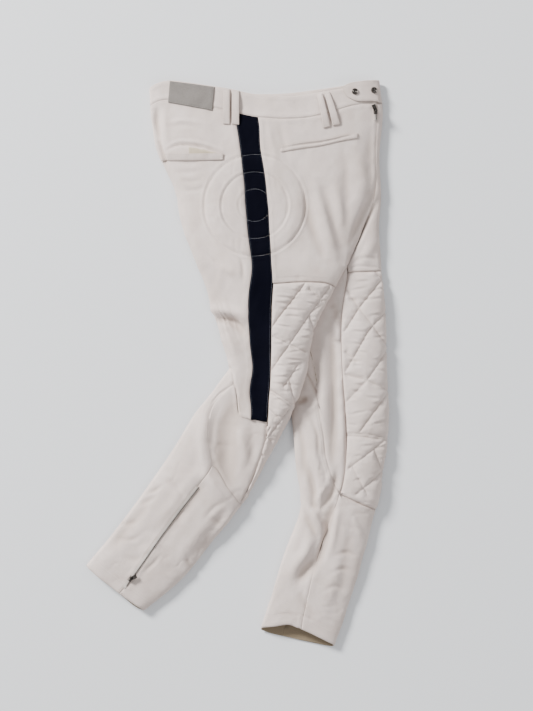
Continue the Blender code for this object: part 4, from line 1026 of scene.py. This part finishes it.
class Edges:
    """The outer edge of a wall as chains of corners, and its surface to lay thread on."""

    def __init__(self, obj):
        bm = bmesh.new()
        bm.from_mesh(obj.data)
        skin = bm.verts.layers.float["skin"]
        outward = bm.verts.layers.float_vector["outward"]
        self.surface = BVHTree.FromBMesh(bm)
        self.near = {}
        self.place, self.out, self.into = {}, {}, {}
        for edge in bm.edges:
            a, b = edge.verts
            outer = min(a[skin], b[skin]) > OUTER_SKIN
            if outer and edge.calc_face_angle(0) > EDGE_TURN:
                self.near.setdefault(a.index, []).append(b.index)
                self.near.setdefault(b.index, []).append(a.index)
        bm.verts.ensure_lookup_table()
        for index in self.near:
            vert = bm.verts[index]
            self.place[index] = vert.co.copy()
            self.out[index] = vert[outward].normalized()
            faces = [f for f in vert.link_faces if all(v[skin] > OUTER_SKIN for v in f.verts)]
            middle = sum((f.calc_center_median() for f in faces), Vector())
            self.into[index] = middle / max(len(faces), 1) - vert.co
        bm.free()

    def closest(self, place):
        """The corner of the edge nearest a place, the higher of two alike."""
        x, y = metres(*place)
        return min(self.near, key=lambda i: (self.place[i].x - x) ** 2
                   + (self.place[i].y - y) ** 2 - HIGHER * self.place[i].z)

    def walk(self, start, goal):
        """The shortest way along the edge between two corners."""
        before, reached = {start: None}, [start]
        while reached and goal not in before:
            reached_next = []
            for here in reached:
                for there in self.near[here]:
                    if there not in before:
                        before[there] = here
                        reached_next.append(there)
            reached = reached_next
        chain, here = [], goal if goal in before else start
        while here is not None:
            chain.append(here)
            here = before[here]
        return chain[::-1]

    def line(self, start, end, inset):
        """Places and outward directions of a line set in from the edge."""
        chain = self.walk(self.closest(start), self.closest(end))
        result = []
        for k, index in enumerate(chain):
            ahead = self.place[chain[min(k + 2, len(chain) - 1)]]
            behind = self.place[chain[max(k - 2, 0)]]
            along = ahead - behind
            if along.length < 1e-6:
                continue
            along.normalize()
            into = self.into[index] - along * self.into[index].dot(along)
            if into.length < 1e-7:
                continue
            out = self.out[index]
            probe = self.place[index] + into.normalized() * inset * MM + out * PROBE_HEIGHT
            hit, _, _, _ = self.surface.ray_cast(probe, -out, PROBE_REACH)
            if hit:
                result.append((hit, out))
        return result


# %% Laying the thread
STITCH_LENGTH, STITCH_STEP, STITCH_WIDTH = 2.2, 3.1, 0.42
STITCH_RISE = 0.2


def lay_stitches(bm, line, width=STITCH_WIDTH, length=STITCH_LENGTH):
    """Small capsules of thread one after another along a line of places."""
    if len(line) < 2:
        return
    ends = [0.0]
    for (a, _), (b, _) in zip(line, line[1:]):
        ends.append(ends[-1] + (b - a).length / MM)
    count = int(ends[-1] / STITCH_STEP)
    k = 0
    for n in range(count):
        at = (n + 0.5) * ends[-1] / count
        while ends[k + 1] < at:
            k += 1
        share = (at - ends[k]) / max(ends[k + 1] - ends[k], 1e-9)
        (a, up), (b, _) = line[k], line[k + 1]
        along = (b - a).normalized()
        side = up.cross(along).normalized()
        top = along.cross(side)
        turn = Matrix((along, side, top)).transposed().to_4x4()
        size = Matrix.Diagonal((length / 2 * MM, width / 2 * MM, width / 2 * MM, 1))
        place = Matrix.Translation(a.lerp(b, share) + top * width * STITCH_RISE * MM)
        bmesh.ops.create_icosphere(bm, subdivisions=1, radius=1, matrix=place @ turn @ size)


def thread_piece(name, bm, material):
    mesh = bpy.data.meshes.new(name)
    bm.to_mesh(mesh)
    bm.free()
    mesh.shade_smooth()
    mesh.materials.append(material)
    obj = bpy.data.objects.new(name, mesh)
    bpy.context.scene.collection.objects.link(obj)
    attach(obj, "garment")
    return obj


# %% Stitches on the seams
edges = {}
seam_thread = bmesh.new()
stripe_thread = bmesh.new()
for row in SEAM_ROWS:
    seam = dict(zip(ROW, row))
    name = seam["piece"]
    if name not in edges:
        edges[name] = Edges(pieces[name])
    for inset in seam["insets"]:
        line = edges[name].line(seam["start"], seam["end"], inset)
        lay_stitches(stripe_thread if name == "stripe_right" else seam_thread, line)
print("rows beside seams:", sum(len(row[3]) for row in SEAM_ROWS))

# %% [markdown]
# ## Stitches across the quilting and the rings
# These rows cross a panel and follow no edge. Each place on the line is dropped straight
# down on the cloth with a ray cast, and the thread is laid where it lands. On the navy stripe
# the thread is paler and the stitches are longer.

# %% Dropping a line on the cloth
def top_surface(objects):
    """One surface of several pieces, for placing things seen from above."""
    bm = bmesh.new()
    for obj in objects:
        bm.from_mesh(obj.data)
    tree = BVHTree.FromBMesh(bm)
    bm.free()
    return tree


cover = top_surface(pieces.values())


def on_top(line, step=2.0, surface=None):
    """Places on the cloth under a line in the picture, seen from straight above."""
    result = []
    for a, b in zip(line, line[1:]):
        count = max(int(math.dist(a, b) * PICTURE_UNIT / step), 1)
        for k in range(count):
            u, v = a[0] + (b[0] - a[0]) * k / count, a[1] + (b[1] - a[1]) * k / count
            eye = Vector((*metres(u, v), 0.2))
            hit, normal, _, _ = (surface or cover).ray_cast(eye, Vector((0, 0, -1)))
            if hit:
                result.append((hit, normal))
    return result


# %% Stitches on the knees and the hip
FINE_WIDTH = 0.36
STRIPE_MIDDLE, STRIPE_HALF = 253.5, 11.5
PALE_WIDTH, PALE_LENGTH = 0.5, 2.6
RING_STEPS = 73

for leg, quilt in QUILTS.items():
    padded_top = top_surface([walls["knee_" + leg]])
    for line in quilt:
        lay_stitches(seam_thread, on_top(line, surface=padded_top), width=FINE_WIDTH)
for ring in RING_RADII:
    circle = [(RING_CENTRE[0] + ring * math.cos(a), RING_CENTRE[1] + ring * math.sin(a))
              for a in np.linspace(0, 2 * math.pi, RING_STEPS)]
    places = on_top(circle)
    lay_stitches(seam_thread, places, width=FINE_WIDTH)
    across = [p for p in places
              if abs(picture(p[0].x, p[0].y)[0] - STRIPE_MIDDLE) < STRIPE_HALF]
    for half in (1, -1):
        part = [p for p in across if (picture(p[0].x, p[0].y)[1] - RING_CENTRE[1]) * half > 0]
        lay_stitches(stripe_thread, part, width=PALE_WIDTH, length=PALE_LENGTH)
for name, bm, material in (("seam_stitches", seam_thread, thread),
                           ("stripe_stitches", stripe_thread, pale_thread)):
    print(name, len(thread_piece(name, bm, material).data.polygons), "faces")

# %% [markdown]
# ## Snaps
# Two ring snaps close the tab. Turned parts are quickest made by spinning half a profile
# about an axis, which gives the rim and the hollow centre in one go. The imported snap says
# where the ring goes, and the cloth under it how it tilts.

# %% A hard piece as an object
HARD_EDGE = math.radians(40)


def finished(name, bm, material, node, body="garment"):
    """A hard piece as an object at the origin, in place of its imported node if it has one."""
    mesh = bpy.data.meshes.new(name)
    bmesh.ops.recalc_face_normals(bm, faces=bm.faces)
    bm.to_mesh(mesh)
    bm.free()
    mesh.shade_smooth()
    mesh.set_sharp_from_angle(angle=HARD_EDGE)
    mesh.materials.append(material)
    obj = bpy.data.objects.new(name, mesh)
    bpy.context.scene.collection.objects.link(obj)
    if node:
        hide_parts(node)
    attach(obj, body)
    return obj


# %% Turning the snaps
SNAP_PROFILE = ((0.0, 0.9), (1.5, 0.9), (1.9, 1.3), (2.5, 1.5), (3.0, 1.1), (3.5, 0.9),
                (4.3, 1.9), (5.0, 2.2), (5.6, 1.9), (5.9, 1.0), (5.9, 0.0), (0.0, 0.0))
SNAP_STEPS = 48


def turned_snap(node):
    """A ring snap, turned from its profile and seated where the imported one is."""
    low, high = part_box(node)
    middle = (low + high) / 2
    hit, normal, _, _ = cover.ray_cast(Vector((middle.x, middle.y, 0.2)), Vector((0, 0, -1)))
    bm = bmesh.new()
    verts = [bm.verts.new((r * MM, 0, z * MM)) for r, z in SNAP_PROFILE]
    rim = [bm.edges.new(pair) for pair in zip(verts, verts[1:])]
    bmesh.ops.spin(bm, geom=verts + rim, cent=(0, 0, 0), axis=(0, 0, 1), angle=2 * math.pi,
                   steps=SNAP_STEPS, use_merge=True)
    bmesh.ops.remove_doubles(bm, verts=bm.verts, dist=0.01 * MM)
    turn = normal.to_track_quat("Z", "Y").to_matrix().to_4x4()
    bmesh.ops.transform(bm, matrix=Matrix.Translation(hit) @ turn, verts=bm.verts)
    return finished(node + "_ring", bm, gunmetal, node)


for node in ("snap_inner", "snap_outer"):
    snap = turned_snap(node)
    print(snap.name, len(snap.data.polygons), "faces")


# %% [markdown]
# ## Sliders and pull tabs
# These are small castings with rounded edges, and the tabs are dished where a thumb goes. The
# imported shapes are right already, so only their flat faces are joined, the broad ones inset
# and sunk, and the sharp edges bevelled. Each tab rides on its own body and turns with it.

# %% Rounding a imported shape
FLAT_ENOUGH, SHARP_ENOUGH = math.radians(4), math.radians(25)
BROAD_FACE, DISH_RIM, ROUNDING = 12, 0.9, 0.25


def hard_piece(node, body, dish=0.0):
    """A metal piece with rounded edges, dished where it is broad."""
    bm = bmesh.new()
    bm.from_mesh(nodes[node].data)
    bmesh.ops.remove_doubles(bm, verts=bm.verts, dist=0.01 * MM)
    bmesh.ops.dissolve_limit(bm, angle_limit=FLAT_ENOUGH, verts=bm.verts, edges=bm.edges)
    if dish:
        broad = [f for f in bm.faces if f.normal.z > 0.7 and f.calc_area() > BROAD_FACE * MM * MM]
        bmesh.ops.inset_individual(bm, faces=broad, thickness=DISH_RIM * MM, depth=-dish * MM)
    sharp = [e for e in bm.edges if e.calc_face_angle(0) > SHARP_ENOUGH]
    bmesh.ops.bevel(bm, geom=sharp, offset=ROUNDING * MM, segments=3, affect="EDGES",
                    clamp_overlap=True)
    return finished(node + "_metal", bm, gunmetal, node, body)


for node, body, dish in (
    ("ankle_zip_slider", "garment", 0.0), ("fly_zip_slider", "garment", 0.0),
    ("ankle_zip_pull", "ankle_pull", 0.3), ("fly_zip_pull", "fly_pull", 0.3),
):
    hard_piece(node, body, dish)
    print(node, "rides on", body)


# %% [markdown]
# ## Zip teeth
# A closed zip is two rows of teeth that mesh. An array along a curve would do, but the zip
# follows the folds of the cloth, so each tooth is a small block set on the tape under it,
# turned along the row, and stepped to the left and the right in turn.

# %% Teeth along a line
TOOTH_STEP = 1.3
TOOTH_SIZE = (0.62, 1.2, 0.8)
TOOTH_OFFSET, TOOTH_RISE = 0.4, 0.25


def zip_teeth(name, line):
    """Two rows of teeth that mesh along the middle of the tape."""
    bm = bmesh.new()
    places = on_top(line, step=1.0)
    done, wanted, turn = 0.0, 0.0, 1
    for (a, up), (b, _) in zip(places, places[1:]):
        along = (b - a).normalized()
        side = up.cross(along).normalized()
        while wanted <= done + (b - a).length / MM:
            share = (wanted - done) / max((b - a).length / MM, 1e-9)
            frame_of = Matrix((along, side, along.cross(side))).transposed().to_4x4()
            size = Matrix.Diagonal((*(side_length * MM for side_length in TOOTH_SIZE), 1))
            place = a.lerp(b, share) + side * turn * TOOTH_OFFSET * MM + up * TOOTH_RISE * MM
            matrix = Matrix.Translation(place) @ frame_of @ size
            bmesh.ops.create_cube(bm, size=1, matrix=matrix)
            wanted += TOOTH_STEP / 2
            turn = -turn
        done += (b - a).length / MM
    return finished(name, bm, teeth_metal, None)


ankle_teeth = zip_teeth("ankle_zip_teeth", ((199, 487), (181, 510), (161, 537), (141, 565.5),
                                            (126, 587)))
fly_teeth = zip_teeth("fly_zip_teeth", ((374.7, 104), (375.8, 112), (376.4, 120)))
print("teeth:", len(ankle_teeth.data.polygons) // 6, "and", len(fly_teeth.data.polygons) // 6)

# %% [markdown]

# %% [markdown]
# ## Floor, light and camera
# The trousers lie on a pale floor under one strong soft light from the top left, which draws
# the folds, and a weak one opposite that keeps their shadows open. The camera looks straight
# down, with a lens that fits the picture's height to its share of the floor.

# %% Floor
FLOOR_SIZE, FLOOR_PARTS, FLOOR_DROP = 8.0, 8, 0.0006
FLOOR_COLOUR = (0.80, 0.81, 0.825, 1)


def add_floor():
    """A wide pale floor, a little below the cloth."""
    bm = bmesh.new()
    bmesh.ops.create_grid(bm, x_segments=FLOOR_PARTS, y_segments=FLOOR_PARTS,
                          size=FLOOR_SIZE / 2)
    mesh = bpy.data.meshes.new("floor")
    bm.to_mesh(mesh)
    bm.free()
    material, _, shader = new_material("floor")
    shader.inputs["Base Color"].default_value = FLOOR_COLOUR
    shader.inputs["Roughness"].default_value = 0.9
    mesh.materials.append(material)
    floor = bpy.data.objects.new("floor", mesh)
    floor.location.z = -FLOOR_DROP
    bpy.context.scene.collection.objects.link(floor)
    floor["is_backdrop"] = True
    print("floor:", FLOOR_SIZE, "m wide")


add_floor()

# %% Lamps and sky
def add_lamp(name, place, size, power):
    """A round soft lamp that looks at the middle of the floor."""
    lamp = bpy.data.lights.new(name, "AREA")
    lamp.shape = "DISK"
    lamp.size = size
    lamp.energy = power
    obj = bpy.data.objects.new(name, lamp)
    obj.location = place
    obj.rotation_euler = (-Vector(place)).to_track_quat("-Z", "Y").to_euler()
    bpy.context.scene.collection.objects.link(obj)
    print(name, "lamp:", size, "m wide,", power, "W")


def add_world():
    """An even sky that fills the shadows."""
    world = bpy.data.worlds.new("studio")
    world.use_nodes = True
    background = world.node_tree.nodes["Background"]
    background.inputs["Color"].default_value = (0.95, 0.97, 1.0, 1)
    background.inputs["Strength"].default_value = 0.64
    bpy.context.scene.world = world


add_world()
add_lamp("key", place=(-4.4, 3.9, 2.9), size=1.5, power=1120)
add_lamp("fill", place=(3.4, -2.4, 4.0), size=3.0, power=70)

# %% Camera
CAMERA_HEIGHT, CLOTH_HEIGHT, SENSOR = 2.6, 0.02, 36


def add_camera():
    """A camera that looks straight down, with a lens that fits the picture's height."""
    camera = bpy.data.cameras.new("camera")
    camera.sensor_width = SENSOR
    middle = metres(PICTURE_WIDTH / 2, PICTURE_HEIGHT / 2)
    camera.lens = SENSOR * (CAMERA_HEIGHT - CLOTH_HEIGHT) / (PICTURE_HEIGHT * UNIT)
    obj = bpy.data.objects.new("camera", camera)
    obj.location = (*middle, CAMERA_HEIGHT)
    bpy.context.scene.collection.objects.link(obj)
    bpy.context.scene.camera = obj
    print(f"lens: {camera.lens:.1f} mm")


add_camera()

# %% [markdown]
# ## Sizes
# The imported and the finished boxes are printed, in millimetres.

# %% Print the sizes
boxes = {"cad": [list(c) for c in cad_box], "visual": [list(c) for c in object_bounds()]}
for name, (low, high) in boxes.items():
    print(name, "size in mm:", [round((b - a) / MM, 1) for a, b in zip(low, high)])
